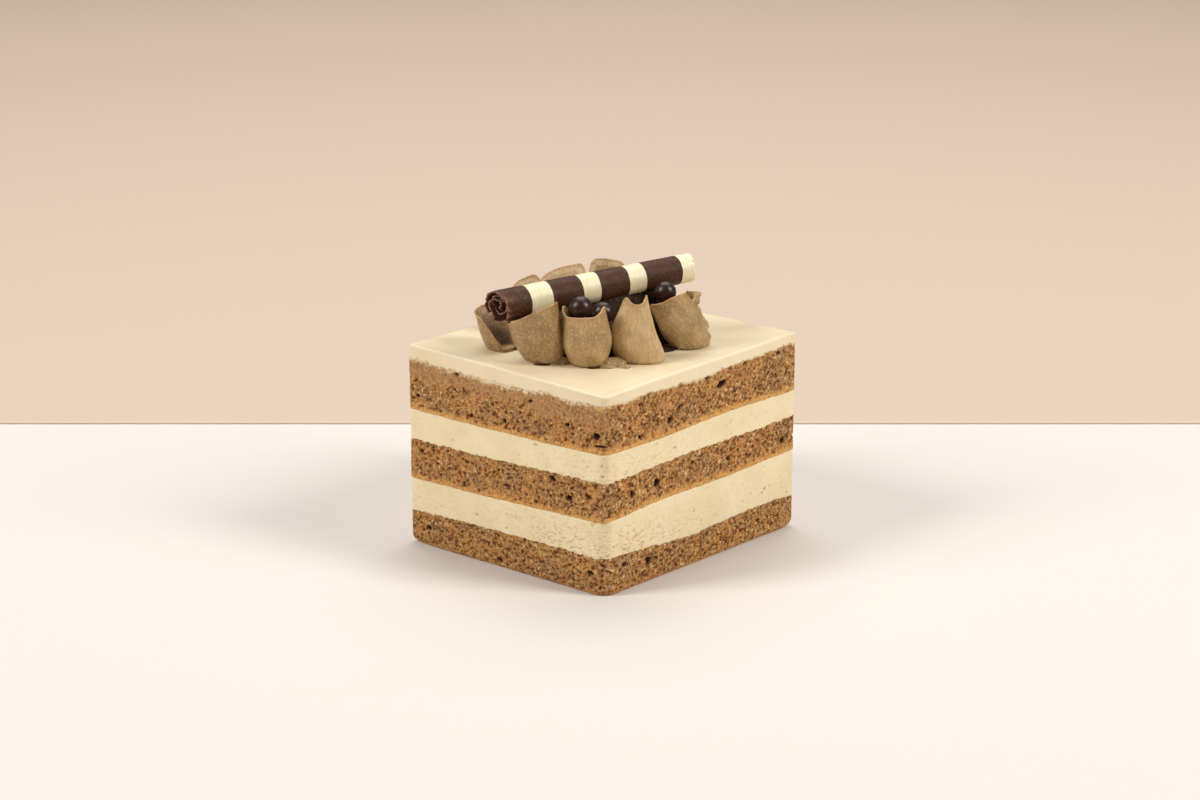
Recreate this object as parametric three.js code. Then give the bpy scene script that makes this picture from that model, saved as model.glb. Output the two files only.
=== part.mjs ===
// A square-cut slice of layered coffee cake: three sheets of sponge with two bands of cream between
// them, a smooth icing on top, and on that a ring of scooped coffee-cream petals that carry a striped
// chocolate roll and three small chocolate pearls.
// Millimetres, +Z up. The origin is the centre of the base. The front cut face looks along -Y and the
// right cut face along +X.
import * as THREE from "three";

// Cake body
const WIDTH = 64.6; // left to right, along X
const DEPTH = 72.6; // front to back, along Y
const SEAM = 0.3; // clear space between pieces that touch
const STEP = 8.5; // longest side of a face along a cut face
const CORNER_STEPS = 4; // straight pieces in the arc of each upright corner
const CAP_RINGS = [0.52]; // rings between a layer's edge and its centre, as a share of the way out

// Joints between the layers, from the base up: the height at each corner, how far the middle of the
// front and right faces stands above the straight line, and one long wave along the right face.
const JOINTS = [
  { left: 0, front: 0, right: 0, back: 0, midFront: 0, midRight: 0, wave: 0 },
  { left: 8.4, front: 9.1, right: 8.5, back: 8.7, midFront: 0.3, midRight: -0.5, wave: 0.5 },
  { left: 17.0, front: 19.0, right: 20.1, back: 18.6, midFront: -0.3, midRight: 0.3, wave: 0.25 },
  { left: 27.0, front: 28.7, right: 29.4, back: 28.0, midFront: -0.1, midRight: 0.0, wave: 0.2 },
  { left: 34.8, front: 35.4, right: 36.2, back: 35.4, midFront: -0.4, midRight: 0.1, wave: 0.25 },
  { left: 47.3, front: 47.3, right: 48.0, back: 47.6, midFront: -0.4, midRight: -0.2, wave: 0.3 },
  { left: 51.2, front: 50.0, right: 50.7, back: 50.1, midFront: 0.1, midRight: 0.1, wave: 0.1 },
];
const WAVE_LENGTH = 50; // crest to crest of a joint's wave, along the right face
const WAVE_CREST = -29; // where the first crest of the lowest wave stands, along Y
const WAVE_SHIFT = 13; // each joint's crests lie this far on from those below

// Layers, from the base up. inset pulls the whole side in, corner is the radius of the upright front
// corner, which is the most worn one, foot and edge are the rounding along the lower and upper edges,
// and relief is how far the cut side is uneven.
const SHARP_CORNER = 1.0; // radius of the other three upright corners
const LAYERS = [
  { name: "sponge_bottom", inset: 0.2, corner: 3.2, foot: 0.5, edge: 0.3, relief: 0.2, colour: "#a07a4e" },
  { name: "cream_lower", inset: 0.15, corner: 2.8, foot: 0.2, edge: 0.2, relief: 0.08, colour: "#ead6a8" },
  { name: "sponge_middle", inset: 0.05, corner: 1.8, foot: 0.3, edge: 0.3, relief: 0.2, colour: "#9c7750" },
  { name: "cream_upper", inset: 0.1, corner: 1.8, foot: 0.2, edge: 0.2, relief: 0.08, colour: "#ecd9ac" },
  { name: "sponge_top", inset: 0.0, corner: 1.6, foot: 0.3, edge: 0.2, relief: 0.2, colour: "#a17c53" },
  { name: "icing", inset: 0.0, corner: 1.8, foot: 0.2, edge: 0.8, relief: 0.05, colour: "#e9d4ad" },
];

// Toppings. They are laid out along a line that runs from the left corner towards the right one: along
// is measured on that line and across away from the front corner, both from the middle of the top.
const TOPPING_TURN = THREE.MathUtils.degToRad(41.1); // that line, from the front face
const TOP = 50.5; // height of the icing under the toppings
const PETAL_SIDES = 24;
const PETAL_WALL = [0.07, 0.2, 0.4, 0.62, 0.84]; // heights of the outer rings, as a share of the rim's
const PETAL_SCOOP = [0.3, 0.62, 0.88]; // depths of the inner rings, as a share of the scoop's
const PETAL_LIP = 0.9; // thickness of the rim
const PETAL_FLAT = 0.84; // a petal is this much shallower, out from the ring, than it is wide
const TOE_HEIGHT = 0.34; // a toe fades out over this share of the petal's height

// Each petal is a small upright scoop. foot, belly and mouth are its half widths at the bottom, at the
// share bellyAt of its height and at the thin rim. out is the way its high side faces, as an angle from
// the along line. The rim stands at height there, rises by tilt towards the left of that side as seen
// from inside the ring, and falls by drop between the two angles of open, on both sides of out. lean
// moves the rim from over the foot and sway the middle of the height, horns are points of the rim that
// stand up by rise, and a toe is a bulge of the foot.
const PETALS = [
  { at: [-25.2, -7.4], out: 178, foot: 4.4, belly: 5.2, mouth: 5.0, bellyAt: 0.6, height: 8.6, tilt: -0.7,
    drop: 7.2, open: [46, 130], scoop: 7.0, lean: [-2.0, 0.2], horns: [] },
  { at: [-14.8, -18.9], out: 252, foot: 4.6, belly: 5.9, mouth: 6.2, bellyAt: 0.8, height: 12.3, tilt: 3.1,
    drop: 7.0, open: [90, 150], scoop: 5.0, lean: [-2.8, -1.6], horns: [] },
  { at: [-3.7, -21.8], out: 268, foot: 4.2, belly: 6.1, mouth: 5.1, bellyAt: 0.46, height: 12.4, tilt: 0.2,
    drop: 4.0, open: [110, 165], scoop: 4.0, lean: [-0.9, 0.0],
    horns: [{ turn: 70, rise: 2.1, spread: 22 }, { turn: -96, rise: 1.6, spread: 26 }] },
  { at: [7.5, -18.2], out: 274, foot: 4.3, belly: 5.3, mouth: 3.4, bellyAt: 0.42, height: 14.0, tilt: 0.3,
    drop: 6.0, open: [90, 150], scoop: 3.0, lean: [0.7, 0.6], sway: [-1.1, 0.0],
    horns: [{ turn: 66, rise: 1.7, spread: 20 }, { turn: -64, rise: 1.7, spread: 22 }],
    toe: { turn: 74, reach: 3.4 } },
  { at: [21.3, -5.4], out: 304, foot: 4.1, belly: 5.7, mouth: 6.0, bellyAt: 0.6, height: 12.6, tilt: 0.9,
    drop: 6.0, open: [80, 150], scoop: 4.2, lean: [-5.6, -1.6], horns: [{ turn: 4, rise: 1.6, spread: 50 }],
    toe: { turn: 60, reach: 0.6 } },
  { at: [12.6, 7.8], out: 50, foot: 4.3, belly: 5.4, mouth: 4.6, bellyAt: 0.5, height: 11.6, tilt: 0.2,
    drop: 0.4, open: [70, 150], scoop: 3.0, lean: [0.2, 0.6], horns: [] },
  { at: [1.0, 14.6], out: 86, foot: 4.4, belly: 5.5, mouth: 4.6, bellyAt: 0.5, height: 15.3, tilt: 0.4,
    drop: 7.0, open: [40, 140], scoop: 5.4, lean: [0.0, 1.4], horns: [] },
  { at: [-11.4, 13.8], out: 100, foot: 4.4, belly: 5.7, mouth: 5.4, bellyAt: 0.5, height: 13.1, tilt: -1.5,
    drop: 6.6, open: [50, 140], scoop: 5.0, lean: [1.6, 1.4], horns: [] },
  { at: [-20.0, 5.8], out: 140, foot: 4.2, belly: 5.2, mouth: 4.7, bellyAt: 0.5, height: 12.0, tilt: -1.5,
    drop: 6.2, open: [50, 140], scoop: 4.6, lean: [1.8, 1.0], horns: [] },
];
const PETAL_COLOUR = "#a98b66";

// Striped roll: a thin sheet of chocolate wound on itself, lying on the petals.
const ROLL_START = [-26.5, -21.2, 14.0]; // centre of its torn end: along, across, above the icing
const ROLL_END = [21.1, 6.8, 16.6]; // centre of its clean end
const ROLL_RADIUS = 4.0;
const ROLL_SIDES = 28;
const ROLL_PIECES = 7; // stripes, and rings of faces along it
const ROLL_SHEET = 1.0; // thickness of the wound sheet
const ROLL_WIND = 0.75; // how far the sheet moves in over one turn
const ROLL_HOLLOW = 2.4; // depth to which the turns stand clear of each other at an end
const ROLL_COLOUR = "#4a332b";

// Pearls: centre as along, across and above the icing, and radius.
const PEARLS = [
  { at: [-5.1, -20.3, 13.4], radius: 2.85 },
  { at: [15.0, -4.9, 13.6], radius: 2.6 },
  { at: [-1.4, -14.6, 11.5], radius: 2.8 },
];
const PEARL_COLOUR = "#38241f";

const SEED = 20541;

// A repeatable stream of numbers from 0 to 1.
function randomStream(seed) {
  let state = seed >>> 0;
  return () => {
    state = (Math.imul(state, 1664525) + 1013904223) >>> 0;
    return state / 4294967296;
  };
}

// Height of joint number i over the point x, y.
function jointHeight(i, x, y) {
  const joint = JOINTS[i];
  const u = x / WIDTH + 0.5;
  const v = y / DEPTH + 0.5;
  const frontLine = THREE.MathUtils.lerp(joint.left, joint.front, u);
  const backLine = THREE.MathUtils.lerp(joint.back, joint.right, u);
  const crest = WAVE_CREST + WAVE_SHIFT * (i - 1);
  const wave = joint.wave * Math.cos(((y - crest) / WAVE_LENGTH) * 2 * Math.PI) * (0.35 + 0.65 * u);
  const bow = joint.midFront * Math.sin(Math.PI * u) * (1 - v) + joint.midRight * Math.sin(Math.PI * v) * u;
  return THREE.MathUtils.lerp(frontLine, backLine, v) + bow + wave;
}

// Closed surface through rings of equal length, from one end point to the other. The rings run
// counterclockwise as seen from the end point's side.
function skin(startPoint, rings, endPoint) {
  const sides = rings[0].length;
  const points = [startPoint, ...rings.flat(), endPoint];
  const faces = [];
  const at = (ring, side) => 1 + ring * sides + (side % sides);
  for (let side = 0; side < sides; side++) {
    faces.push(0, at(0, side + 1), at(0, side));
    for (let ring = 0; ring + 1 < rings.length; ring++) {
      faces.push(at(ring, side), at(ring, side + 1), at(ring + 1, side + 1));
      faces.push(at(ring, side), at(ring + 1, side + 1), at(ring + 1, side));
    }
    faces.push(points.length - 1, at(rings.length - 1, side), at(rings.length - 1, side + 1));
  }
  const geometry = new THREE.BufferGeometry().setFromPoints(points);
  geometry.setIndex(faces);
  geometry.computeVertexNormals();
  return geometry;
}

function namedMesh(name, geometry, colour, roughness) {
  const material = new THREE.MeshStandardMaterial({ color: colour, roughness, metalness: 0 });
  const mesh = new THREE.Mesh(geometry, material);
  mesh.name = name;
  return mesh;
}

// Counterclockwise outline of a layer in plan: four straight sides and four round corners. Each point
// comes with the outward direction there.
function layerOutline(inset, corner) {
  const outline = [];
  const halfX = WIDTH / 2 - inset;
  const halfY = DEPTH / 2 - inset;
  const corners = [[1, 1], [-1, 1], [-1, -1], [1, -1]].map(([sx, sy]) => {
    const radius = sx > 0 && sy < 0 ? corner : SHARP_CORNER;
    return { x: sx * (halfX - radius), y: sy * (halfY - radius), radius };
  });
  corners.forEach((here, quarter) => {
    for (let k = 0; k <= CORNER_STEPS; k++) {
      const turn = (quarter + k / CORNER_STEPS) * (Math.PI / 2);
      const out = new THREE.Vector2(Math.cos(turn), Math.sin(turn));
      outline.push({ x: here.x + here.radius * out.x, y: here.y + here.radius * out.y, out });
    }
    const { x, y, out } = outline[outline.length - 1];
    const next = corners[(quarter + 1) % corners.length];
    const [endX, endY] = [next.x + next.radius * out.x, next.y + next.radius * out.y];
    const pieces = Math.ceil(Math.hypot(endX - x, endY - y) / STEP);
    for (let k = 1; k < pieces; k++) {
      const share = k / pieces;
      outline.push({ x: THREE.MathUtils.lerp(x, endX, share), y: THREE.MathUtils.lerp(y, endY, share), out });
    }
  });
  return outline;
}

// One layer between joint i and joint i + 1.
function layerGeometry(layer, i, random) {
  const outline = layerOutline(layer.inset, layer.corner);
  const belowSeam = i > 0 ? SEAM / 2 : 0;
  const aboveSeam = i + 1 < LAYERS.length ? SEAM / 2 : 0;
  const lower = (x, y) => jointHeight(i, x, y) + belowSeam;
  const upper = (x, y) => jointHeight(i + 1, x, y) - aboveSeam;
  const cap = (share, height) => outline.map((p) => {
    const x = p.x * share;
    const y = p.y * share;
    return new THREE.Vector3(x, y, height(x, y));
  });
  // The side rises from the lower edge's rounding, past the middle, to the upper edge's.
  const side = (inward, lift, fromTop) => outline.map((p) => {
    const uneven = inward ? 0 : (random() - 0.5) * 2 * layer.relief;
    const x = p.x + p.out.x * (uneven - inward);
    const y = p.y + p.out.y * (uneven - inward);
    return new THREE.Vector3(x, y, fromTop ? upper(p.x, p.y) - lift : lower(p.x, p.y) + lift);
  });
  const middle = outline.map((p) => {
    const uneven = (random() - 0.5) * 2 * layer.relief;
    const z = (lower(p.x, p.y) + upper(p.x, p.y)) / 2;
    return new THREE.Vector3(p.x + p.out.x * uneven, p.y + p.out.y * uneven, z);
  });
  const rings = [
    ...CAP_RINGS.map((share) => cap(share, lower)),
    side(layer.foot, 0, false),
    side(0, Math.max(layer.foot, layer.edge), false),
    middle,
    side(0, layer.edge, true),
    side(layer.edge, 0, true),
    ...[...CAP_RINGS].reverse().map((share) => cap(share, upper)),
  ];
  return skin(new THREE.Vector3(0, 0, lower(0, 0)), rings, new THREE.Vector3(0, 0, upper(0, 0)));
}

// Smallest angle between two directions, in radians.
function angleBetween(one, other) {
  return Math.abs(Math.atan2(Math.sin(one - other), Math.cos(one - other)));
}

// Height of a petal's rim at an angle from its outer side.
function rimHeight(petal, turn) {
  const [from, to] = petal.open.map(THREE.MathUtils.degToRad);
  const fall = petal.drop * THREE.MathUtils.smoothstep(angleBetween(turn, 0), from, to);
  const horns = petal.horns.reduce((sum, horn) => {
    const away = angleBetween(turn, THREE.MathUtils.degToRad(horn.turn));
    return sum + horn.rise * Math.exp(-((away / THREE.MathUtils.degToRad(horn.spread)) ** 2));
  }, 0);
  return petal.height + petal.tilt * Math.sin(turn) - fall + horns;
}

// Half width of a petal's wall at a share of its height, with the toe towards an angle.
function wallReach(petal, share, turn) {
  const { foot, belly, mouth, bellyAt, toe = { turn: 0, reach: 0 } } = petal;
  const bulge = toe.reach * Math.exp(-((share / TOE_HEIGHT) ** 2))
    * Math.max(0, Math.cos(turn - THREE.MathUtils.degToRad(toe.turn))) ** 2;
  if (share < bellyAt) return foot + (belly - foot) * Math.sin((share / bellyAt) * (Math.PI / 2)) + bulge;
  return belly + (mouth - belly) * ((share - bellyAt) / (1 - bellyAt)) ** 1.5 + bulge;
}

// A petal in its own frame: the foot's centre at 0, 0, 0 and its outer side towards +X.
function petalGeometry(petal, random) {
  const middleOfTurn = new THREE.Vector2();
  const out = THREE.MathUtils.degToRad(petal.out);
  const lean = new THREE.Vector2(...petal.lean).rotateAround(middleOfTurn, -out);
  const sway = new THREE.Vector2(...(petal.sway ?? [0, 0])).rotateAround(middleOfTurn, -out);
  const turns = Array.from({ length: PETAL_SIDES }, (_, k) => (k / PETAL_SIDES) * 2 * Math.PI);
  const uneven = turns.map(() => 1 + (random() - 0.5) * 0.04);
  // A point at an angle and a reach from the petal's leaning middle line.
  const place = (turn, reach, z) => {
    const share = Math.min(z / petal.height, 1.1);
    const middle = lean.clone().multiplyScalar(share ** 1.2);
    middle.addScaledVector(sway, Math.sin(Math.PI * Math.min(share, 1)));
    const x = Math.cos(turn) * reach * PETAL_FLAT + middle.x;
    return new THREE.Vector3(x, Math.sin(turn) * reach + middle.y, z);
  };
  const floor = petal.height - petal.scoop;
  const wall = (share) => turns.map((turn, k) => place(turn, wallReach(petal, share, turn) * uneven[k],
    share * rimHeight(petal, turn)));
  const scoop = (depth) => turns.map((turn) => {
    const rim = rimHeight(petal, turn);
    const reach = (wallReach(petal, 1, turn) - PETAL_LIP) * Math.sqrt(1 - depth ** 2);
    return place(turn, reach, THREE.MathUtils.lerp(rim, Math.min(floor, rim - 0.4), depth));
  });
  const sole = turns.map((turn) => place(turn, wallReach(petal, 0, turn) * 0.92, 0));
  const rings = [sole, ...PETAL_WALL.map(wall), wall(1), scoop(0), ...PETAL_SCOOP.map(scoop)];
  return skin(new THREE.Vector3(0, 0, 0), rings, place(0, 0, floor - 0.3));
}

// The roll along +Z from its torn end, with its centre line on the axis.
function rollGeometry(length, random) {
  const turns = Array.from({ length: ROLL_SIDES }, (_, k) => k / ROLL_SIDES);
  const torn = turns.map(() => random() * 0.9);
  const ring = (radius, winds, z) => turns.map((turn, k) => {
    const r = radius - (winds ? ROLL_WIND * turn : 0);
    return new THREE.Vector3(r * Math.cos(turn * 2 * Math.PI), r * Math.sin(turn * 2 * Math.PI), z(k));
  });
  // From the middle of an end out to its rim: the inner turn stands up between two clear spaces.
  const end = (face, inward, ragged) => {
    const edge = (k) => face + inward * ragged * torn[k];
    const low = () => face + inward * ROLL_HOLLOW;
    const inset = (k) => edge((k + 3) % ROLL_SIDES) + inward * 0.3;
    return [
      ring(1.15, true, low),
      ring(1.3, true, inset),
      ring(1.3 + ROLL_SHEET * 0.8, true, inset),
      ring(1.4 + ROLL_SHEET * 0.9, true, low),
      ring(ROLL_RADIUS - ROLL_SHEET * 0.75, true, low),
      ring(ROLL_RADIUS - ROLL_SHEET * 0.65, true, edge),
      ring(ROLL_RADIUS - 0.15, false, edge),
    ];
  };
  const body = Array.from({ length: ROLL_PIECES + 1 }, (_, k) => k / ROLL_PIECES).map((share) => ring(
    ROLL_RADIUS, false, (k) => THREE.MathUtils.lerp(0.3 + torn[k], length - 0.3, share),
  ));
  return skin(
    new THREE.Vector3(0, 0, ROLL_HOLLOW),
    [...end(0, 1, 1), ...body, ...end(length, -1, 0.4).reverse()],
    new THREE.Vector3(0, 0, length - ROLL_HOLLOW),
  );
}

function cakeLayers(random) {
  return LAYERS.map((layer, i) => {
    const roughness = layer.name === "icing" ? 0.45 : 0.85;
    return namedMesh(layer.name, layerGeometry(layer, i, random), layer.colour, roughness);
  });
}

// Height of the icing above TOP under a point of the toppings' own layout.
function icingUnder(along, across) {
  const point = new THREE.Vector2(along, across).rotateAround(new THREE.Vector2(), TOPPING_TURN);
  return jointHeight(LAYERS.length, point.x, point.y) - TOP;
}

function petals(random) {
  return PETALS.map((petal, i) => {
    const mesh = namedMesh("petal_" + (i + 1), petalGeometry(petal, random), PETAL_COLOUR, 0.5);
    const [along, across] = petal.at;
    mesh.position.set(along, across, icingUnder(along, across) + SEAM);
    mesh.rotation.z = THREE.MathUtils.degToRad(petal.out);
    return mesh;
  });
}

function chocolateRoll(random) {
  const start = new THREE.Vector3(...ROLL_START);
  const run = new THREE.Vector3(...ROLL_END).sub(start);
  const mesh = namedMesh("chocolate_roll", rollGeometry(run.length(), random), ROLL_COLOUR, 0.4);
  mesh.position.copy(start);
  mesh.quaternion.setFromUnitVectors(new THREE.Vector3(0, 0, 1), run.normalize());
  return mesh;
}

function pearls() {
  return PEARLS.map((pearl, i) => {
    const ball = new THREE.SphereGeometry(pearl.radius, 16, 10);
    const mesh = namedMesh("pearl_" + (i + 1), ball, PEARL_COLOUR, 0.15);
    mesh.rotation.x = Math.PI / 2;
    mesh.position.set(...pearl.at);
    return mesh;
  });
}

const random = randomStream(SEED);
const slice = new THREE.Group();
slice.add(...cakeLayers(random));
const toppings = new THREE.Group();
toppings.position.z = TOP;
toppings.rotation.z = TOPPING_TURN;
toppings.add(...petals(random), chocolateRoll(random), ...pearls());
slice.add(toppings);

export default slice;
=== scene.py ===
"""A slice of layered coffee cake with its toppings, built around the packed solids.

Each solid is replaced by a finer mesh in the same place: cut sponge with open bubbles, set cream with
pits, a smooth icing, scooped petals, a striped roll wound from one sheet, and glazed pearls. The meshes are
worked out in millimetres and stored in metres. The petals, the roll and the pearls are laid out on the
icing along a line that runs from the left corner to the right one: along is measured on it, across away
from the front corner, and height above the icing.
"""
import math
from collections import namedtuple
from functools import partial

import bpy
import numpy as np
from bpy.props import FloatProperty, FloatVectorProperty, PointerProperty
from mathutils import Euler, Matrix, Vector


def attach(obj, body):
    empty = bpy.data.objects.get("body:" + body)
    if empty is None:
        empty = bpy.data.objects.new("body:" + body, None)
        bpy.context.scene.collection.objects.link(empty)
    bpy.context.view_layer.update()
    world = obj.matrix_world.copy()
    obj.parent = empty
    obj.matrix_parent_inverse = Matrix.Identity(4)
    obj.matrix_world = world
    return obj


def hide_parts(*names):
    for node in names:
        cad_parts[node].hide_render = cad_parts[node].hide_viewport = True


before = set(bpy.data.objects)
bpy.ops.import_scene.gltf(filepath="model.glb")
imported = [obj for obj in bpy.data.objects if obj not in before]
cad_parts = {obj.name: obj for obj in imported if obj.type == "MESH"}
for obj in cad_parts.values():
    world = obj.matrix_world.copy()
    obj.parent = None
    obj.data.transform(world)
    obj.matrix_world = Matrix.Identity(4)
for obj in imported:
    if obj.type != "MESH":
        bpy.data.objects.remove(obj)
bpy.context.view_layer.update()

bl_info = {
    "name": "Tiramisu slice",
    "version": (1, 0, 0),
    "blender": (4, 5, 0),
    "location": "3D View > Sidebar > Tiramisu",
    "description": "Builds the layers, the toppings and the stage of a slice of tiramisu",
    "category": "Add Mesh",
}

MM = 0.001
SEED = 20541

# --- Sizes in millimetres, the same as the solids have ---

WIDTH = 64.6  # left to right, along X
DEPTH = 72.6  # front to back, along Y
SHARP_CORNER = 1.0  # radius of the upright corners, apart from the front one
WAVE_LENGTH = 50.0
WAVE_CREST = -29.0
WAVE_SHIFT = 13.0

# Joints between the layers, from the base up: the height at the left, front, right and back corner, how far
# the middle of the front and of the right face stands above the straight line, one long wave, and how far
# crumbs make the joint uneven.
Joint = namedtuple("Joint", "left front right back mid_front mid_right wave ragged")
JOINTS = (
    Joint(0.0, 0.0, 0.0, 0.0, 0.0, 0.0, 0.0, 0.0),
    Joint(8.4, 9.1, 8.5, 8.7, 0.3, -0.5, 0.5, 0.42),
    Joint(17.0, 19.0, 20.1, 18.6, -0.3, 0.3, 0.25, 0.14),
    Joint(27.0, 28.7, 29.4, 28.0, -0.1, 0.0, 0.2, 0.42),
    Joint(34.8, 35.4, 36.2, 35.4, -0.4, 0.1, 0.25, 0.14),
    Joint(47.3, 47.3, 48.0, 47.6, -0.4, -0.2, 0.3, 0.0),
    Joint(51.2, 50.0, 50.7, 50.1, 0.1, 0.1, 0.1, 0.0),
)

# Sponge sheets. joint is the one under the sheet, inset pulls the whole side in, corner is the radius of
# the upright front corner, foot is the rounding along the lower edge, crust is how far the baked skin
# underneath colours the crumb.
SPONGE_SHEETS = (
    dict(node="sponge_bottom", joint=0, inset=0.15, corner=3.2, foot=1.1, crust=0.8),
    dict(node="sponge_middle", joint=2, inset=0.05, corner=1.8, foot=0.05, crust=2.2),
    dict(node="sponge_top", joint=4, inset=0.0, corner=1.8, foot=0.05, crust=2.2),
)
# Cream bands, in the same way. pits is the share of the pits that open, roughness how far the knife dragged.
CREAM_BANDS = (
    dict(node="cream_lower", joint=1, inset=0.12, corner=2.8, pits=0.8, roughness=1.0),
    dict(node="cream_upper", joint=3, inset=0.05, corner=1.8, pits=0.3, roughness=0.5),
)
# Icing. edge is the rounding round its top, where a low lip stands lip_in from the side.
ICING = dict(node="icing", joint=5, inset=0.0, corner=1.8, edge=0.45, lip=0.12, lip_in=0.9, lip_width=0.7)

TOP_JOINT = 6  # the joint that is the icing's top
WIPED_REACH = 0.9  # icing wiped over the crumb fades out over twice this height, and more on the front face
FRONT_FADE = 4.0  # how far round the corners the front face's finish goes
SMEAR_FULL = 3.2  # crumb is smeared down to here below the icing
SMEAR_END = 6.2  # and not at all from here
CAP_RINGS = (0.97, 0.6)  # rings in a layer's hidden top and underside, as shares of the way out

# Large bubbles that the knife opened: the sheet, the face, how far along the face from its middle, the
# height, the half width, the half height, the slope in degrees and the depth.
LARGE_BUBBLES = {
    "sponge_top": (
        ("right", 6.9, 43.9, 1.8, 0.85, 10, 1.4),
        ("right", -9.0, 41.7, 1.4, 0.45, 25, 1.2),
        ("right", -12.7, 39.2, 1.0, 0.85, 20, 1.3),
        ("right", 28.8, 47.0, 0.7, 0.5, 0, 0.9),
        ("right", 24.9, 42.7, 0.6, 0.35, 30, 0.9),
        ("right", 1.5, 46.6, 0.8, 0.4, 15, 0.9),
        ("right", 16.0, 47.2, 0.6, 0.45, 0, 0.8),
        ("right", -23.5, 45.6, 1.0, 0.35, 0, 0.8),
        ("right", -23.2, 37.3, 0.6, 0.6, 0, 0.9),
        ("right", 12.0, 41.0, 0.5, 0.4, 20, 0.8),
        ("front", -11.4, 36.9, 0.6, 0.5, 0, 1.0),
        ("front", -0.2, 37.9, 0.6, 0.6, 0, 1.0),
        ("front", 8.4, 44.6, 0.7, 0.4, 20, 0.8),
        ("front", 29.3, 39.9, 1.0, 0.9, 0, 1.2),
        ("front", 30.6, 37.6, 2.0, 0.28, 5, 0.9),
        ("front", -29.0, 38.6, 0.7, 0.45, 10, 0.8),
        ("front", -15.6, 46.6, 0.8, 0.4, 0, 0.7),
        ("front", 20.0, 41.0, 0.6, 0.45, 0, 0.9),
    ),
    "sponge_middle": (
        ("right", -17.4, 24.5, 1.2, 0.95, 0, 1.3),
        ("right", -26.3, 23.9, 0.8, 0.8, 0, 1.1),
        ("right", 31.2, 23.8, 1.0, 0.85, 30, 1.2),
        ("right", 10.0, 24.0, 0.6, 0.5, 0, 0.9),
        ("right", -4.0, 26.4, 0.7, 0.45, 10, 0.9),
        ("front", 15.3, 26.6, 1.1, 0.7, -20, 1.2),
        ("front", 0.3, 21.6, 1.1, 0.35, 0, 0.8),
        ("front", 20.5, 22.8, 0.9, 0.7, 0, 1.1),
        ("front", 26.5, 24.5, 0.9, 0.5, -20, 1.0),
        ("front", -13.7, 19.0, 0.4, 0.8, 0, 0.8),
        ("front", -28.0, 24.5, 0.8, 0.5, 0, 0.9),
    ),
    "sponge_bottom": (
        ("right", -20.3, 5.4, 0.9, 1.1, 20, 1.1),
        ("right", -29.0, 6.8, 0.9, 0.6, 0, 0.9),
        ("right", 22.0, 5.0, 0.7, 0.5, 0, 0.9),
        ("front", -26.0, 4.9, 0.8, 0.6, 0, 1.0),
        ("front", -2.0, 1.9, 1.0, 0.5, -10, 0.9),
        ("front", 27.0, 5.4, 0.9, 0.6, -10, 1.0),
    ),
}

# Pale lumps in the sponge and tan smudges on the cream, in the same way but without a depth.
MARKS = {
    "sponge_top": (("front", 30.4, 46.9, 2.0, 0.9, -3), ("front", 31.6, 38.9, 0.5, 0.5, 0)),
    "sponge_middle": (("right", -28.0, 21.6, 0.7, 0.5, 0), ("front", 24.0, 20.4, 0.9, 0.4, -10)),
    "sponge_bottom": (
        ("front", -26.5, 6.2, 1.6, 0.5, -15),
        ("front", 12.0, 6.9, 2.4, 0.5, -12),
        ("front", 15.5, 6.0, 0.8, 0.5, 0),
        ("right", -31.7, 4.9, 0.5, 1.8, 5),
        ("right", -23.6, 7.8, 0.45, 1.4, 5),
        ("right", -25.5, 3.4, 0.4, 1.0, 0),
        ("right", 2.0, 5.6, 1.2, 0.4, 10),
        ("right", 14.0, 6.2, 1.5, 0.5, 10),
    ),
    "cream_upper": (
        ("right", 10.6, 33.6, 1.0, 0.45, 30),
        ("right", 18.8, 33.8, 0.45, 0.45, 0),
        ("right", 9.2, 32.8, 0.5, 0.3, 0),
    ),
    "cream_lower": (("right", -30.8, 15.6, 1.3, 0.4, 50), ("right", 24.0, 18.6, 0.5, 0.3, 0)),
}

# --- Toppings ---

TOPPING_TURN = math.radians(41.1)  # the along line, from the front face
TOP = 50.5  # height of the icing under the toppings
PETAL_LIP = 0.9  # thickness of a petal's wall under its rim
PETAL_RIM = 0.35  # thickness of the rim itself
PETAL_FLARE = 0.25  # how far the rim turns out
PETAL_LOWEST = 0.9  # the lowest that a rim comes down
PETAL_LIFT = 0.3  # how far the rim stands above its petal's height
PETAL_TUCK = 0.7  # how far the foot is tucked in
PETAL_GROOVE = 0.05  # depth of the scraper's grooves
GROOVE_CIRCLE = 5.0  # radius of the circle on which the grooves are laid out
GROOVE_RISE = 6.0  # height over which slanting grooves wind round by their slant
PETAL_FLAT = 0.84  # a petal is this much shallower, out from the ring, than it is wide
TOE_HEIGHT = 0.34  # a toe fades out over this share of the petal's height
FAR_FROM_RIM = 9.0  # what the smears, which have no rim, give as their distance from it
SMEAR_TONE = 0.2  # share of lighter cream in the smears

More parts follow.
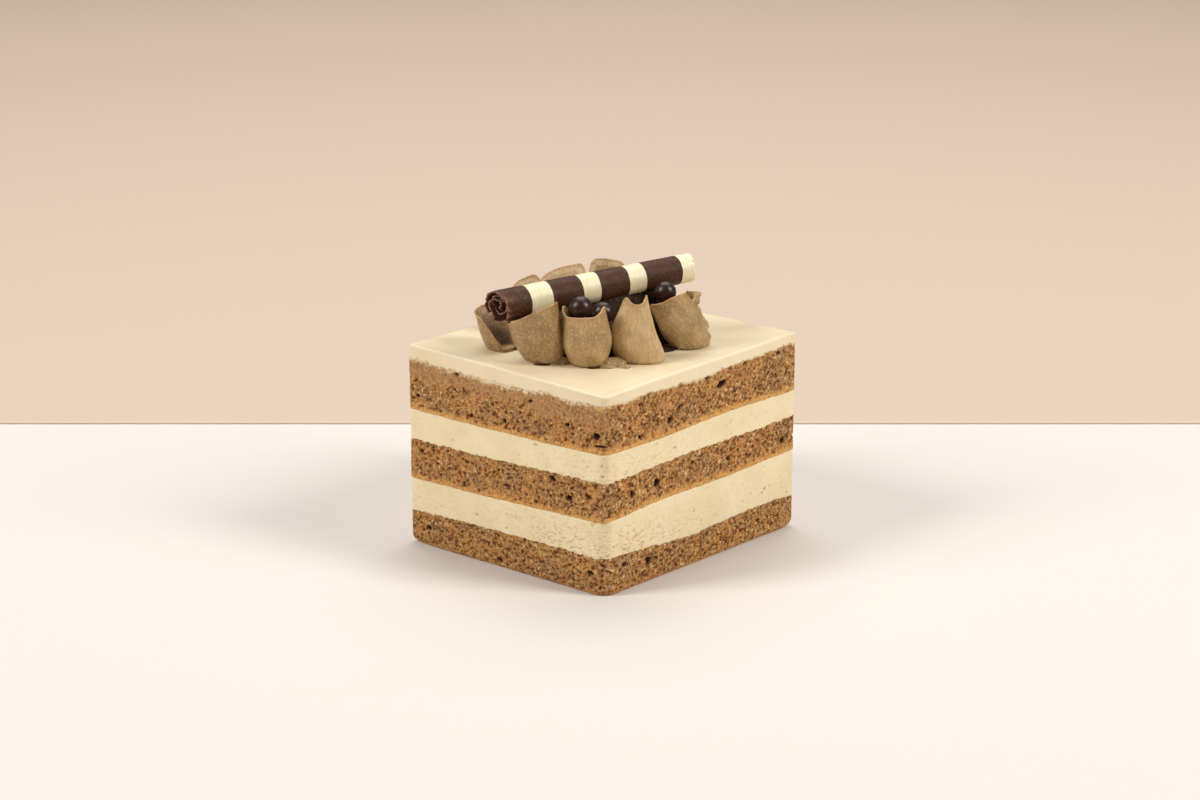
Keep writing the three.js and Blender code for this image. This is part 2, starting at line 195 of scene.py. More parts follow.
# Each petal is a small upright scoop. foot, belly and mouth are its half widths at the bottom, at the share
# belly_at of its height and at the rim. out is the way its high side faces, as an angle from the along line.
# The rim stands at height there, rises by tilt towards the left of that side as seen from inside the ring,
# and falls by drop between the two angles of open, on both sides of out. right_drop, if given, is the drop
# on the right of out. lean moves the rim from over the foot and sway the middle of the height. horns are
# points of the rim as angle, rise and spread, and wisps are thin curls of it that bend outwards, as angle,
# rise, spread and bend. A toe is a bulge of the foot as angle and reach, torn is the angle at which the wall
# is torn and how much, slant leans the scraper's grooves, and tone is the share of lighter cream.
# tone is painted light and shade: each petal's share of lighter cream is set higher where it is lit and lower
# where it stands in shade.
PETALS = (
    dict(at=(-25.2, -7.4), out=178, foot=4.4, belly=5.2, mouth=5.0, belly_at=0.6, height=8.6, tilt=-0.7,
         drop=8.0, right_drop=2.6, open=(46, 118), scoop=7.0, lean=(-2.0, 0.2), slant=0.5, tone=0.05),
    dict(at=(-14.2, -18.9), out=252, foot=4.7, belly=6.7, mouth=6.6, belly_at=0.66, height=12.3, tilt=3.1,
         drop=7.0, open=(90, 150), scoop=5.0, lean=(-3.2, -1.6), slant=0.1, tone=0.1),
    dict(at=(-3.7, -21.8), out=268, foot=4.2, belly=6.1, mouth=5.1, belly_at=0.46, height=12.4, tilt=0.2,
         drop=4.0, open=(130, 175), scoop=4.0, lean=(-0.9, 0.0),
         horns=((72, 1.9, 22), (-108, 1.6, 24)), tone=0.35),
    dict(at=(7.5, -18.2), out=274, foot=4.3, belly=5.3, mouth=3.1, belly_at=0.42, height=14.0, tilt=0.3,
         drop=6.0, open=(90, 150), scoop=3.0, lean=(-0.1, 0.6), sway=(-0.6, 0.0),
         horns=((66, 1.7, 22), (-42, 2.1, 26), (-95, -1.6, 30)), toe=(74, 3.4), tone=0.95),
    dict(at=(21.5, -5.4), out=304, foot=4.6, belly=6.4, mouth=5.8, belly_at=0.48, height=12.6, tilt=0.9,
         drop=6.0, open=(80, 150), scoop=4.2, lean=(-5.7, -1.6), horns=((4, 1.6, 50), (46, -2.2, 9)),
         wisps=((62, -0.3, 9, 3.2),), torn=(66, 0.6), slant=0.55, tone=0.35),
    dict(at=(12.6, 7.8), out=50, foot=4.3, belly=5.4, mouth=4.6, belly_at=0.5, height=11.6, tilt=0.2,
         drop=0.4, open=(70, 150), scoop=3.0, lean=(0.2, 0.6), tone=0.4),
    dict(at=(1.0, 14.6), out=86, foot=4.4, belly=5.5, mouth=4.6, belly_at=0.5, height=15.3, tilt=0.4,
         drop=7.0, open=(40, 140), scoop=5.4, lean=(0.0, 1.4), tone=0.5),
    dict(at=(-11.4, 13.8), out=100, foot=4.4, belly=5.7, mouth=5.4, belly_at=0.5, height=13.1, tilt=-1.5,
         drop=6.6, open=(50, 140), scoop=5.0, lean=(1.6, 1.4), tone=0.9),
    dict(at=(-20.0, 5.8), out=140, foot=4.2, belly=5.2, mouth=4.7, belly_at=0.5, height=12.0, tilt=-1.5,
         drop=6.2, open=(50, 140), scoop=4.6, lean=(1.8, 1.0), tone=1.0),
)

Lump = namedtuple("Lump", "at length width height turn")

# The cream that the ring stands round and the roll lies on, coloured very dark as painted shade between the
# petals and under the roll, and flat dark patches at the petals' feet that are painted contact shadow: place,
# length, width, height and direction in degrees.
HEAPS = (
    Lump((-3.0, -4.0), 37.0, 27.0, 8.5, 0),
    Lump((3.5, -3.8), 34.0, 13.0, 13.3, 30),
    Lump((13.0, 1.2), 15.0, 9.0, 14.0, 30),
    Lump((14.4, -8.2), 7.4, 6.4, 0.9, -10),
    Lump((-9.2, -20.8), 5.4, 1.8, 1.2, 24),
    Lump((-2.0, -25.1), 4.0, 1.0, 0.4, 8),
    Lump((-15.0, -22.9), 4.4, 1.0, 0.3, -6),
)

# Smears that the scraper left at the petals' feet, in the same way.
SMEARS = (
    Lump((2.2, -22.2), 6.4, 5.6, 1.9, -5),
    Lump((0.8, -24.0), 5.0, 2.8, 0.9, 8),
    Lump((4.6, -23.9), 4.4, 2.2, 0.8, -25),
    Lump((-9.6, -21.6), 5.6, 1.3, 1.5, 24),
    Lump((-11.0, -22.6), 4.0, 1.1, 0.6, 12),
    Lump((-6.4, 6.0), 5.0, 2.6, 0.7, 50),
)

ROLL_START = (-26.5, -21.2, 14.0)  # centre of the roll's torn end: along, across, height
ROLL_END = (21.1, 6.8, 16.75)  # centre of its clean end
ROLL_RADIUS = 4.15  # at the torn end
ROLL_TAPER = 0.5  # how much thinner the clean end is
ROLL_SHEET = 0.38  # thickness of the wound sheet
ROLL_PITCH = 1.05  # how far the sheet moves in over one turn
ROLL_TURNS = 2.7
ROLL_SIDES = 84  # mesh points round one turn
ROLL_TEAR = 1.1  # how far the torn end slopes
ROLL_STRIPES = (8.6, 14.7, 23.2, 28.1, 36.3, 41.2, 51.5)  # where dark and ivory meet, from the torn end

# Pearls: centre as along, across and height, and radius.
PEARLS = (
    dict(at=(-5.5, -20.3, 13.7), radius=3.0),
    dict(at=(15.2, -4.9, 13.6), radius=2.7),
    dict(at=(-0.1, -13.5, 10.7), radius=2.8),
)

# --- Stage, in metres. The camera is fitted to the corners of the slice in the photograph. ---

CAMERA_PLACE = (0.5481, -0.6286, 0.2860)
CAMERA_TURN = math.radians(41.145)  # from the front face
CAMERA_RISE = math.radians(16.75)
CAMERA_LENS = 105.0  # millimetres, as is the sensor's width
CAMERA_SENSOR = 36.0
TABLE_REACH = 6.0  # how far the table and the paper run on every side
PAPER_FROM = 0.093  # where the paper begins behind the cake
PAPER_LIFT = 0.0002
AMBIENT_TINT = (1.0, 0.97, 0.93)  # linear colour of the light from all round
LIGHT_HEIGHT = 0.9
LIGHT_AIM = (0, 0, 0.03)

# Lights: how far to the right of the cake and behind it each hangs as the camera sees it, its width and
# height, the setting that gives its power, and how much of that it has.
SOFTBOXES = (
    dict(name="top_light", aside=0.0, behind=0.5, size=(0.8, 0.8), setting="top", share=1.0),
    dict(name="left_light", aside=-1.04, behind=-0.4, size=(0.4, 0.7), setting="side", share=1.0),
    dict(name="right_light", aside=1.04, behind=-0.4, size=(0.4, 0.7), setting="side", share=1.1),
)


# --- Numbers and noise ---

HASH_PRIMES = (73856093, 19349663, 83492791)
HASH_FACTOR = 1274126177


def linear(colour):
    """Linear RGB of an sRGB hex colour."""
    parts = [int(colour[k:k + 2], 16) / 255 for k in (1, 3, 5)]
    return tuple(p / 12.92 if p <= 0.04045 else ((p + 0.055) / 1.055) ** 2.4 for p in parts)


def ease(low, high, value):
    """0 below low, 1 above high, and a smooth step between."""
    share = np.clip((value - low) / (high - low), 0, 1)
    return share * share * (3 - 2 * share)


def bell(distance, width):
    """1 at no distance, and smoothly less to both sides, almost 0 from twice the width on."""
    return np.exp(-(distance / width) ** 2)


def turned(u, v, angle):
    """Both parts of a place or a direction in a plane, turned by an angle."""
    cos, sin = math.cos(angle), math.sin(angle)
    return u * cos - v * sin, u * sin + v * cos


def lattice(cell):
    """A repeatable random number from 0 to 1 for each whole-number point."""
    mixed = np.bitwise_xor.reduce(cell * HASH_PRIMES, axis=-1)
    mixed = ((mixed ^ (mixed >> 13)) * HASH_FACTOR) & 0x7FFFFFFF
    return ((mixed ^ (mixed >> 16)) & 0xFFFF) / 0xFFFF


def noise(x, y, z, size, seed):
    """Smooth random values from -1 to 1 with bumps about size apart. Each seed gives another pattern."""
    place = np.stack(np.broadcast_arrays(x, y, z), -1) / size + seed * 17.31
    cell = np.floor(place).astype(np.int64)
    part = place - cell
    part = part * part * (3 - 2 * part)
    total = np.zeros(part.shape[:-1])
    for corner in np.ndindex(2, 2, 2):
        weight = np.prod(np.where(np.array(corner, bool), part, 1 - part), axis=-1)
        total += weight * lattice(cell + np.array(corner))
    return total * 2 - 1


# --- Meshes ---

def quads_between(rings, count, first=0):
    """Quads between a number of rings, each of count points. The first ring starts at the vertex first."""
    side = np.arange(count)
    after = (side + 1) % count
    base = first + np.arange(rings - 1)[:, None] * count
    corners = base + side, base + after, base + after + count, base + side + count
    return np.stack(corners, -1).reshape(-1, 4)


def shell(rings, start, end):
    """Vertices, quads and triangles of a skin through rings of equal length, from a start to an end point.

    The rings run counterclockwise as seen from the end point.
    """
    count = rings.shape[1]
    vertices = np.concatenate([[start], rings.reshape(-1, 3), [end]])
    side = np.arange(count)
    after = (side + 1) % count
    last = len(vertices) - 1
    top = last - count
    first_fan = np.stack([np.zeros_like(side), 1 + after, 1 + side], -1)
    last_fan = np.stack([np.full_like(side, last), top + side, top + after], -1)
    return vertices, quads_between(len(rings), count, first=1), np.concatenate([first_fan, last_fan])


def ring_values(values):
    """One value for each vertex of a shell, from one for each ring point."""
    flat = values.reshape(-1, *values.shape[2:])
    return np.concatenate([flat[:1], flat, flat[-1:]])


def add_piece(name, vertices, quads, triangles, materials, attributes, face_materials=None):
    """A smooth mesh object on the part's one body. Vertices are in millimetres."""
    mesh = bpy.data.meshes.new(name)
    mesh.vertices.add(len(vertices))
    mesh.vertices.foreach_set("co", (vertices * MM).ravel())
    corners = np.concatenate([quads.ravel(), triangles.ravel()]).astype(np.int32)
    mesh.loops.add(len(corners))
    mesh.loops.foreach_set("vertex_index", corners)
    starts = np.concatenate([
        np.arange(len(quads)) * 4,
        len(quads) * 4 + np.arange(len(triangles)) * 3,
    ]).astype(np.int32)
    mesh.polygons.add(len(starts))
    mesh.polygons.foreach_set("loop_start", starts)
    if face_materials is not None:
        mesh.polygons.foreach_set("material_index", face_materials.astype(np.int32))
    mesh.update(calc_edges=True)
    mesh.validate()
    mesh.shade_smooth()
    for attribute, values in attributes.items():
        kind, field = ("FLOAT_VECTOR", "vector") if values.ndim == 2 else ("FLOAT", "value")
        made = mesh.attributes.new(attribute, kind, "POINT")
        made.data.foreach_set(field, values.astype(np.float32).ravel())
    for material in materials:
        mesh.materials.append(material)
    piece = bpy.data.objects.new(name, mesh)
    bpy.context.scene.collection.objects.link(piece)
    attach(piece, "root")
    return piece


# --- Nodes ---

def add(tree, kind, inputs=None, **settings):
    """Adds a shader node. An input is another node's output, to be linked, or a plain value, to be set."""
    made = tree.nodes.new("ShaderNode" + kind)
    for name, value in settings.items():
        setattr(made, name, value)
    for key, value in (inputs or {}).items():
        socket = made.inputs[key]
        if isinstance(value, bpy.types.NodeSocket):
            tree.links.new(value, socket)
        elif socket.type == "RGBA":
            socket.default_value = (*value[:3], 1.0)
        else:
            socket.default_value = value
    return made


def new_material(name):
    """An empty node material and its tree."""
    material = bpy.data.materials.new(name)
    material.use_nodes = True
    material.node_tree.nodes.clear()
    return material, material.node_tree


def finish_material(tree, shader):
    """Sends a shader to the material's output."""
    add(tree, "OutputMaterial", {"Surface": shader.outputs[0]})


# --- Layers of the cake ---

def joint_height(number, x, y):
    """Height of a joint over the point x, y, without its crumbs."""
    joint = JOINTS[number]
    u = x / WIDTH + 0.5
    v = y / DEPTH + 0.5
    front_line = joint.left + (joint.front - joint.left) * u
    back_line = joint.back + (joint.right - joint.back) * u
    crest = WAVE_CREST + WAVE_SHIFT * (number - 1)
    wave = joint.wave * np.cos(2 * np.pi * (y - crest) / WAVE_LENGTH) * (0.35 + 0.65 * u)
    bow = joint.mid_front * np.sin(np.pi * u) * (1 - v) + joint.mid_right * np.sin(np.pi * v) * u
    return front_line + (back_line - front_line) * v + bow + wave


def crumbly_height(number, x, y):
    """Height of a joint with the unevenness that crumbs or a smooth crust give it."""
    uneven = 0.7 * noise(x, y, 0.0, 0.75, number + 1) + 0.6 * noise(x, y, 0.0, 2.8, number + 11)
    return joint_height(number, x, y) + JOINTS[number].ragged * uneven


Outline = namedtuple("Outline", "places outs run length")


def cut_outline(inset, corner, spacing):
    """Outline of a layer in plan, counterclockwise.

    It holds points, outward directions, how far each point lies along the outline, and its whole length.
    """
    half = (WIDTH / 2 - inset, DEPTH / 2 - inset)
    places, outs = [], []
    signs = ((1, 1), (-1, 1), (-1, -1), (1, -1))
    radii = [corner if sign == (1, -1) else SHARP_CORNER for sign in signs]
    centres = [np.array([sx * (half[0] - r), sy * (half[1] - r)]) for (sx, sy), r in zip(signs, radii)]
    for quarter, (centre, radius) in enumerate(zip(centres, radii)):
        pieces = max(4, round(radius * math.pi / 2 / spacing))
        turn = (quarter + np.arange(pieces + 1) / pieces) * math.pi / 2
        out = np.stack([np.cos(turn), np.sin(turn)], -1)
        places.append(centre + radius * out)
        outs.append(out)
        after = (quarter + 1) % 4
        straight_end = centres[after] + radii[after] * out[-1]
        pieces = round(np.linalg.norm(straight_end - places[-1][-1]) / spacing)
        share = (np.arange(1, pieces) / pieces)[:, None]
        places.append(places[-1][-1] * (1 - share) + straight_end * share)
        outs.append(np.repeat(out[-1:], pieces - 1, axis=0))
    places, outs = np.concatenate(places), np.concatenate(outs)
    steps = np.linalg.norm(np.roll(places, -1, axis=0) - places, axis=1)
    run = np.concatenate([[0], np.cumsum(steps)[:-1]])
    return Outline(places, outs, run, steps.sum())


def run_between(outline, start, end):
    """Distance along the outline from one run to another, the shorter way round, negative if backwards."""
    return (end - start + outline.length / 2) % outline.length - outline.length / 2


def cut_relief(x, y, z):
    """How far the cut side stands out of its plane, the same for all layers so that they meet."""
    return 0.08 * noise(x, y, z, 6.0, 7) + 0.03 * noise(x, y, z, 1.3, 8)


def wiped_share(x, y, z, below):
    """How much of the cut side icing covers, at a distance below the icing's joint.

    The knife dabbed the icing and the crumb over each other, most on the front face.
    """
    front = np.clip(1 - (y + DEPTH / 2) / FRONT_FADE, 0, 1)
    reach = WIPED_REACH + WIPED_REACH * front
    wander = 0.5 * noise(x, y, 0.0, 7.0, 3) + 0.35 * noise(x, y, 0.0, 2.6, 4)
    dabs = 0.5 * noise(x, y, z, 1.9, 5)
    return np.clip(0.5 - (below + wander + dabs) / (2 * reach), 0, 1)


def rounded(distance, radius):
    """How far a rounded edge is pulled in at a distance from the edge."""
    share = np.clip(1 - distance / radius, 0, 1)
    return radius * (1 - np.sqrt(1 - share * share))


def open_bubbles(depth, outline, z, bubbles, steepness=0.5):
    """Deepens a cut side, in place, where bubbles open on it.

    A bubble is a row of its place on the run, height, half width, half height, slope and depth.
    """
    for at, height, half_width, half_height, slope, deep in bubbles:
        away = run_between(outline, at, outline.run)
        near = np.flatnonzero(np.abs(away) < max(half_width, half_height))
        if not len(near):
            continue
        over, up = turned(away[near][None, :], z[:, near] - height, -slope)
        over, up = over / half_width, up / half_height
        sunk = deep * np.clip(1 - over * over - up * up, 0, None) ** steepness
        depth[:, near] = np.maximum(depth[:, near], sunk)


def run_of(outline, face, along):
    """Where on the run a point stands that is given by its face and its distance from the face's middle."""
    wanted = np.array({"front": (along, -DEPTH / 2), "right": (WIDTH / 2, along)}[face])
    return outline.run[np.argmin(np.linalg.norm(outline.places - wanted, axis=1))]


def placed_bubbles(outline, rows):
    """Bubbles for open_bubbles, from rows with a face and a slope in degrees, and a depth or none."""
    return [(run_of(outline, face, along), height, wide, tall, math.radians(slope), *(deep or (1.0,)))
            for face, along, height, wide, tall, slope, *deep in rows]


def marks_on(node, outline, z):
    """Share of a piece's marks at each point of its cut side."""
    share = np.zeros_like(z)
    open_bubbles(share, outline, z, placed_bubbles(outline, MARKS.get(node, ())), steepness=1.0)
    return share


def random_bubbles(rng, length, low, high, spacing, smallest, largest, depth):
    """Bubbles spread over a cut side, one for about each square of the spacing."""
    count = int(length * (high - low) / spacing ** 2)
    size = smallest + (largest - smallest) * rng.random(count) ** 3
    return np.stack([
        rng.random(count) * length,
        low + (high - low) * rng.random(count),
        size,
        size * (0.55 + 0.45 * rng.random(count)),
        (rng.random(count) - 0.5) * 1.6,
        size * depth * (0.6 + 0.8 * rng.random(count)),
    ], -1)


def close_layer(side, values, low, high, shares):
    """Shell of a layer from its cut side, with caps whose rings lie at the given shares of the way out."""
    def cap(ring, height):
        plans = [ring[:, :2].T * share for share in shares]
        return np.stack([np.stack([*plan, height(*plan)], -1) for plan in plans])
    rings = np.concatenate([cap(side[0], low)[::-1], side, cap(side[-1], high)])
    spread = {name: ring_values(np.pad(value, ((len(shares), len(shares)), (0, 0)), mode="edge"))
              for name, value in values.items()}
    middle = np.zeros(1)
    start = (0, 0, low(middle, middle)[0])
    end = (0, 0, high(middle, middle)[0])
    return shell(rings, start, end), spread


def cut_side(layer, look):
    """Outline of a sponge sheet or a cream band, and the height of every point of its cut side, in rows."""
    spacing = look.grid / MM
    outline = cut_outline(layer["inset"], layer["corner"], spacing)
    low, high = (crumbly_height(layer["joint"] + k, *outline.places.T) for k in (0, 1))
    rows = round(np.max(high - low) / spacing)
    return outline, low + np.linspace(0, 1, rows + 1)[:, None] * (high - low)


def close_side(layer, outline, z, inward, values):
    """Shell of a sponge sheet or a cream band whose cut side is moved inward, and its values."""
    (x, y), (out_x, out_y) = outline.places.T, outline.outs.T
    side = np.stack([x - out_x * inward, y - out_y * inward, z], -1)
    low, high = (partial(crumbly_height, layer["joint"] + k) for k in (0, 1))
    return close_layer(side, values, low, high, CAP_RINGS)


def sponge_sheet(sheet, look):
    """Mesh of one sheet of sponge and the values that its material reads."""
    rng = np.random.default_rng(SEED + sheet["joint"])
    outline, z = cut_side(sheet, look)
    x, y = outline.places.T
    rise, drop = z - z[0], z[-1] - z

    # Small bubbles all over, fewer in the baked skin and where icing was wiped over, then the large ones.
    depth = np.zeros_like(z)
    bubble = look.bubble / MM
    small = random_bubbles(
        rng, outline.length, 0.0, z.max(), spacing=bubble * 1.05, smallest=bubble * 0.3,
        largest=bubble * 0.8, depth=1.0)
    open_bubbles(depth, outline, z, small)
    depth *= 0.4 + 0.6 * ease(0.4, 1.2, rise)
    if sheet["node"] == "sponge_top":
        front = np.clip(-outline.outs[:, 1], 0, 1)
        film = wiped_share(x, y, z, drop)
        wander = noise(x, y, 0.0, 7.0, 4)
        smear = (0.3 + 0.7 * front) * ease(SMEAR_END, SMEAR_FULL, drop + 1.4 * wander)
    else:
        film = np.clip(0.3 - drop, 0, 1)
        smear = np.zeros_like(z)
    depth *= ease(0.8, 0.3, film) * (1 - 0.6 * smear)
    open_bubbles(depth, outline, z, placed_bubbles(outline, LARGE_BUBBLES[sheet["node"]]), steepness=0.3)

    # The foot is more rounded by the corners.
    from_corner = np.hypot(WIDTH / 2 - np.abs(x), DEPTH / 2 - np.abs(y))
    foot = sheet["foot"] * (1 + 1.2 * bell(from_corner, 2.5))
    inward = rounded(rise, foot) + depth - cut_relief(x, y, z)
    marks = marks_on(sheet["node"], outline, z)
    values = dict(pore=depth, rise=rise, film=film, smear=smear, mark=marks)
    return close_side(sheet, outline, z, inward, values)


def glaze_tone(tree, place, look):
    """Colour of the glaze: ivory with broad faint clouds."""
    clouds = add(tree, "TexNoise", {"Vector": place, "Scale": 1 / (11 * MM), "Detail": 3.0})
    cloud = add(tree, "MapRange", {"Value": clouds.outputs["Fac"], "From Min": 0.3, "From Max": 0.7})
    mixed = add(tree, "Mix", {0: cloud.outputs[0], 6: look.glaze, 7: look.glaze_shade}, data_type="RGBA")
    return mixed.outputs[2]


def dabbed_cover(tree, place, film):
    """Sharpens the share that icing covers into small dabs, the same on the icing and on the sponge."""
    total = film
    for size, strength in ((0.5, 0.9), (1.3, 0.5)):
        dabs = add(tree, "TexNoise", {"Vector": place, "Scale": 1 / (size * MM), "Detail": 2.0})
        centred = add(tree, "Math", {0: dabs.outputs["Fac"], 1: 0.5}, operation="SUBTRACT")
        summed = add(tree, "Math", {0: centred.outputs[0], 1: strength, 2: total}, operation="MULTIPLY_ADD")
        total = summed.outputs[0]
    return add(tree, "MapRange", {"Value": total, "From Min": 0.33, "From Max": 0.67}).outputs[0]


def crumb_texture(tree, place, look):
    """Bubbles and light and dark specks of the crumb, each as a share from 0 to 1."""
    warp = add(tree, "TexNoise", {"Vector": place, "Scale": 1 / look.bubble, "Detail": 1.0})
    centred = add(tree, "VectorMath", {0: warp.outputs["Color"], 1: (0.5, 0.5, 0.5)}, operation="SUBTRACT")
    pushed = add(tree, "VectorMath", {0: centred.outputs[0], "Scale": 1.5 * look.bubble}, operation="SCALE")
    bent = add(tree, "VectorMath", {0: place, 1: pushed.outputs[0]}, operation="ADD").outputs[0]
    holes = []
    for spacing, smallest, largest in ((2.4, -0.12, 0.32), (1.1, -0.05, 0.38)):
        cells = add(tree, "TexVoronoi", {"Vector": bent, "Scale": 1 / (spacing * look.bubble)})
        radius = add(tree, "MapRange", {
            "Value": cells.outputs["Color"], "To Min": smallest, "To Max": largest})
        inner, outer = (add(tree, "Math", {0: radius.outputs[0], 1: blur}, operation="ADD").outputs[0]
                        for blur in (-0.08, 0.08))
        hole = add(tree, "MapRange", {
            "Value": cells.outputs["Distance"], "From Min": inner, "From Max": outer, "To Min": 1.0,
            "To Max": 0.0}, interpolation_type="SMOOTHSTEP")
        holes.append(hole.outputs[0])
    pores = add(tree, "Math", {0: holes[0], 1: holes[1]}, operation="MAXIMUM").outputs[0]
    grain = add(tree, "TexNoise", {
        "Vector": place, "Scale": 1 / (1.35 * look.bubble), "Detail": 4.0, "Roughness": 0.62})
    light = add(tree, "MapRange", {"Value": grain.outputs["Fac"], "From Min": 0.5, "From Max": 0.63})
    dark = add(tree, "MapRange", {"Value": grain.outputs["Fac"], "From Min": 0.46, "From Max": 0.35})
    return pores, light.outputs[0], dark.outputs[0]


def sponge_material(look, glaze, crust):
    """Baked sponge, cut with a knife.

    The eye sees a matte foam: tan walls round brown open bubbles of many sizes, a greyer tone in patches,
    and an orange-tan skin underneath that fades into the crumb. Glaze wiped over it fills the bubbles. The
    brown inside the bubbles is painted shade, darkest at the bottom of the large ones.
    """
    material, tree = new_material("baked_sponge_cut")
    place = add(tree, "TexCoord").outputs["Object"]
    pores, light, dark = crumb_texture(tree, place, look)
    rise, wiped, smear, opened, mark = (
        add(tree, "Attribute", attribute_name=name).outputs["Fac"]
        for name in ("rise", "film", "smear", "pore", "mark"))
    film = dabbed_cover(tree, place, wiped)

    # The baked skin underneath, and patches and smeared stretches of greyer crumb.
    edge_noise = add(tree, "TexNoise", {"Vector": place, "Scale": 1 / (1.6 * MM), "Detail": 2.0})
    skin_end = add(tree, "Math", {0: edge_noise.outputs["Fac"], 1: 2 * crust}, operation="MULTIPLY")
    skin_full = add(tree, "Math", {0: skin_end.outputs[0], 1: 0.3}, operation="MULTIPLY")
    skin = add(tree, "MapRange", {
        "Value": rise, "From Min": skin_full.outputs[0], "From Max": skin_end.outputs[0], "To Min": 1.0,
        "To Max": 0.0}).outputs[0]
    patches = add(tree, "TexNoise", {"Vector": place, "Scale": 1 / (7 * MM), "Detail": 2.0})
    patch = add(tree, "MapRange", {"Value": patches.outputs["Fac"], "From Min": 0.38, "From Max": 0.68})
    grey = add(tree, "Math", {0: smear, 1: patch.outputs[0]}, operation="MAXIMUM").outputs[0]

    # Texture is weaker where crumb was smeared, and pores are fewer in the skin.
    weaker, firmer = (
        add(tree, "Math", {0: share, 1: -loss, 2: 1.0}, operation="MULTIPLY_ADD").outputs[0]
        for share, loss in ((smear, 0.6), (skin, 0.88)))
    light, dark, pores = (
        add(tree, "Math", {0: texture, 1: weaker}, operation="MULTIPLY").outputs[0]
        for texture in (light, dark, pores))
    dark, pores = (
        add(tree, "Math", {0: texture, 1: firmer}, operation="MULTIPLY").outputs[0]
        for texture in (dark, pores))
    # Painted shade in the bubbles: the hollow colour where pores lie and where the cut side is sunk, and a
    # darker one at the bottom of the large bubbles.
    inside = add(tree, "MapRange", {"Value": opened, "From Min": 0.0, "From Max": 0.4, "To Max": 0.8})
    hollow = add(tree, "Math", {0: pores, 1: inside.outputs[0]}, operation="MAXIMUM").outputs[0]
    deep = add(tree, "MapRange", {"Value": opened, "From Min": 0.45, "From Max": 0.8}).outputs[0]
    shade, pale = (
        add(tree, "Math", {0: share, 1: strength}, operation="MULTIPLY").outputs[0]
        for share, strength in ((dark, 0.9), (mark, 0.75)))

    # Each colour lies over the one before where its share says.
    wall = add(tree, "Mix", {0: skin, 6: look.wall, 7: look.crust_wall}, data_type="RGBA").outputs[2]
    colour = look.crumb
    for share, over in (
            (grey, look.grey_crumb),
            (skin, look.crust),
            (light, wall),
            (shade, look.hollow),
            (hollow, look.hollow),
            (deep, look.deep_hollow),
            (film, glaze_tone(tree, place, glaze)),
            (pale, look.pale_lump)):
        colour = add(tree, "Mix", {0: share, 6: colour, 7: over}, data_type="RGBA").outputs[2]

    relief = add(tree, "Math", {0: light, 1: hollow}, operation="SUBTRACT")
    bare = add(tree, "Math", {0: 1.0, 1: film}, operation="SUBTRACT")
    bump = add(tree, "Bump", {
        "Height": relief.outputs[0], "Distance": 0.25 * MM, "Strength": bare.outputs[0]})
    finish_material(tree, add(tree, "BsdfPrincipled", {
        "Base Color": colour, "Roughness": 0.8, "IOR": 1.4, "Normal": bump.outputs[0]}))
    return material


def cream_band(band, look):
    """Mesh of one band of cream and the values that its material reads."""
    rng = np.random.default_rng(SEED + band["joint"])
    outline, z = cut_side(band, look)
    x, y = outline.places.T
    run = outline.run

    # Pits lie closest together low down and by the front corner, as do short scratches from the knife.
    corner = run_of(outline, "front", WIDTH / 2)
    worked = bell(run_between(outline, corner, run), 26) * ease(9.5, 3.0, z - z[0]) + 0.15
    worked = np.clip(worked, 0, 1) * band["roughness"]
    depth = np.zeros_like(z)
    pits = random_bubbles(
        rng, outline.length, z.min(), z.max(), spacing=1.1, smallest=0.16, largest=0.42, depth=0.8)
    near_corner = bell(run_between(outline, corner, pits[:, 0]), 24)
    low_down = ease(9, 2, pits[:, 1] - z.min())
    kept = rng.random(len(pits)) < band["pits"] * (0.12 + 0.6 * low_down * near_corner + 0.2 * low_down)
    open_bubbles(depth, outline, z, pits[kept])
    scratches = pits[kept][::3] * (1, 1, 3.0, 0.6, 0.4, 0.5)  # longer, lower, more level and shallower pits
    open_bubbles(depth, outline, z, scratches)
    dragged = noise(run, 0.0, z * 2.2, 1.5, 12) + 0.7 * noise(run, 0.0, z * 1.6, 0.7, 13)
    ridges = 0.16 * worked * np.abs(dragged)

    inward = depth + ridges - cut_relief(x, y, z)
    values = dict(pore=depth, worked=worked, mark=marks_on(band["node"], outline, z))
    return close_side(band, outline, z, inward, values)


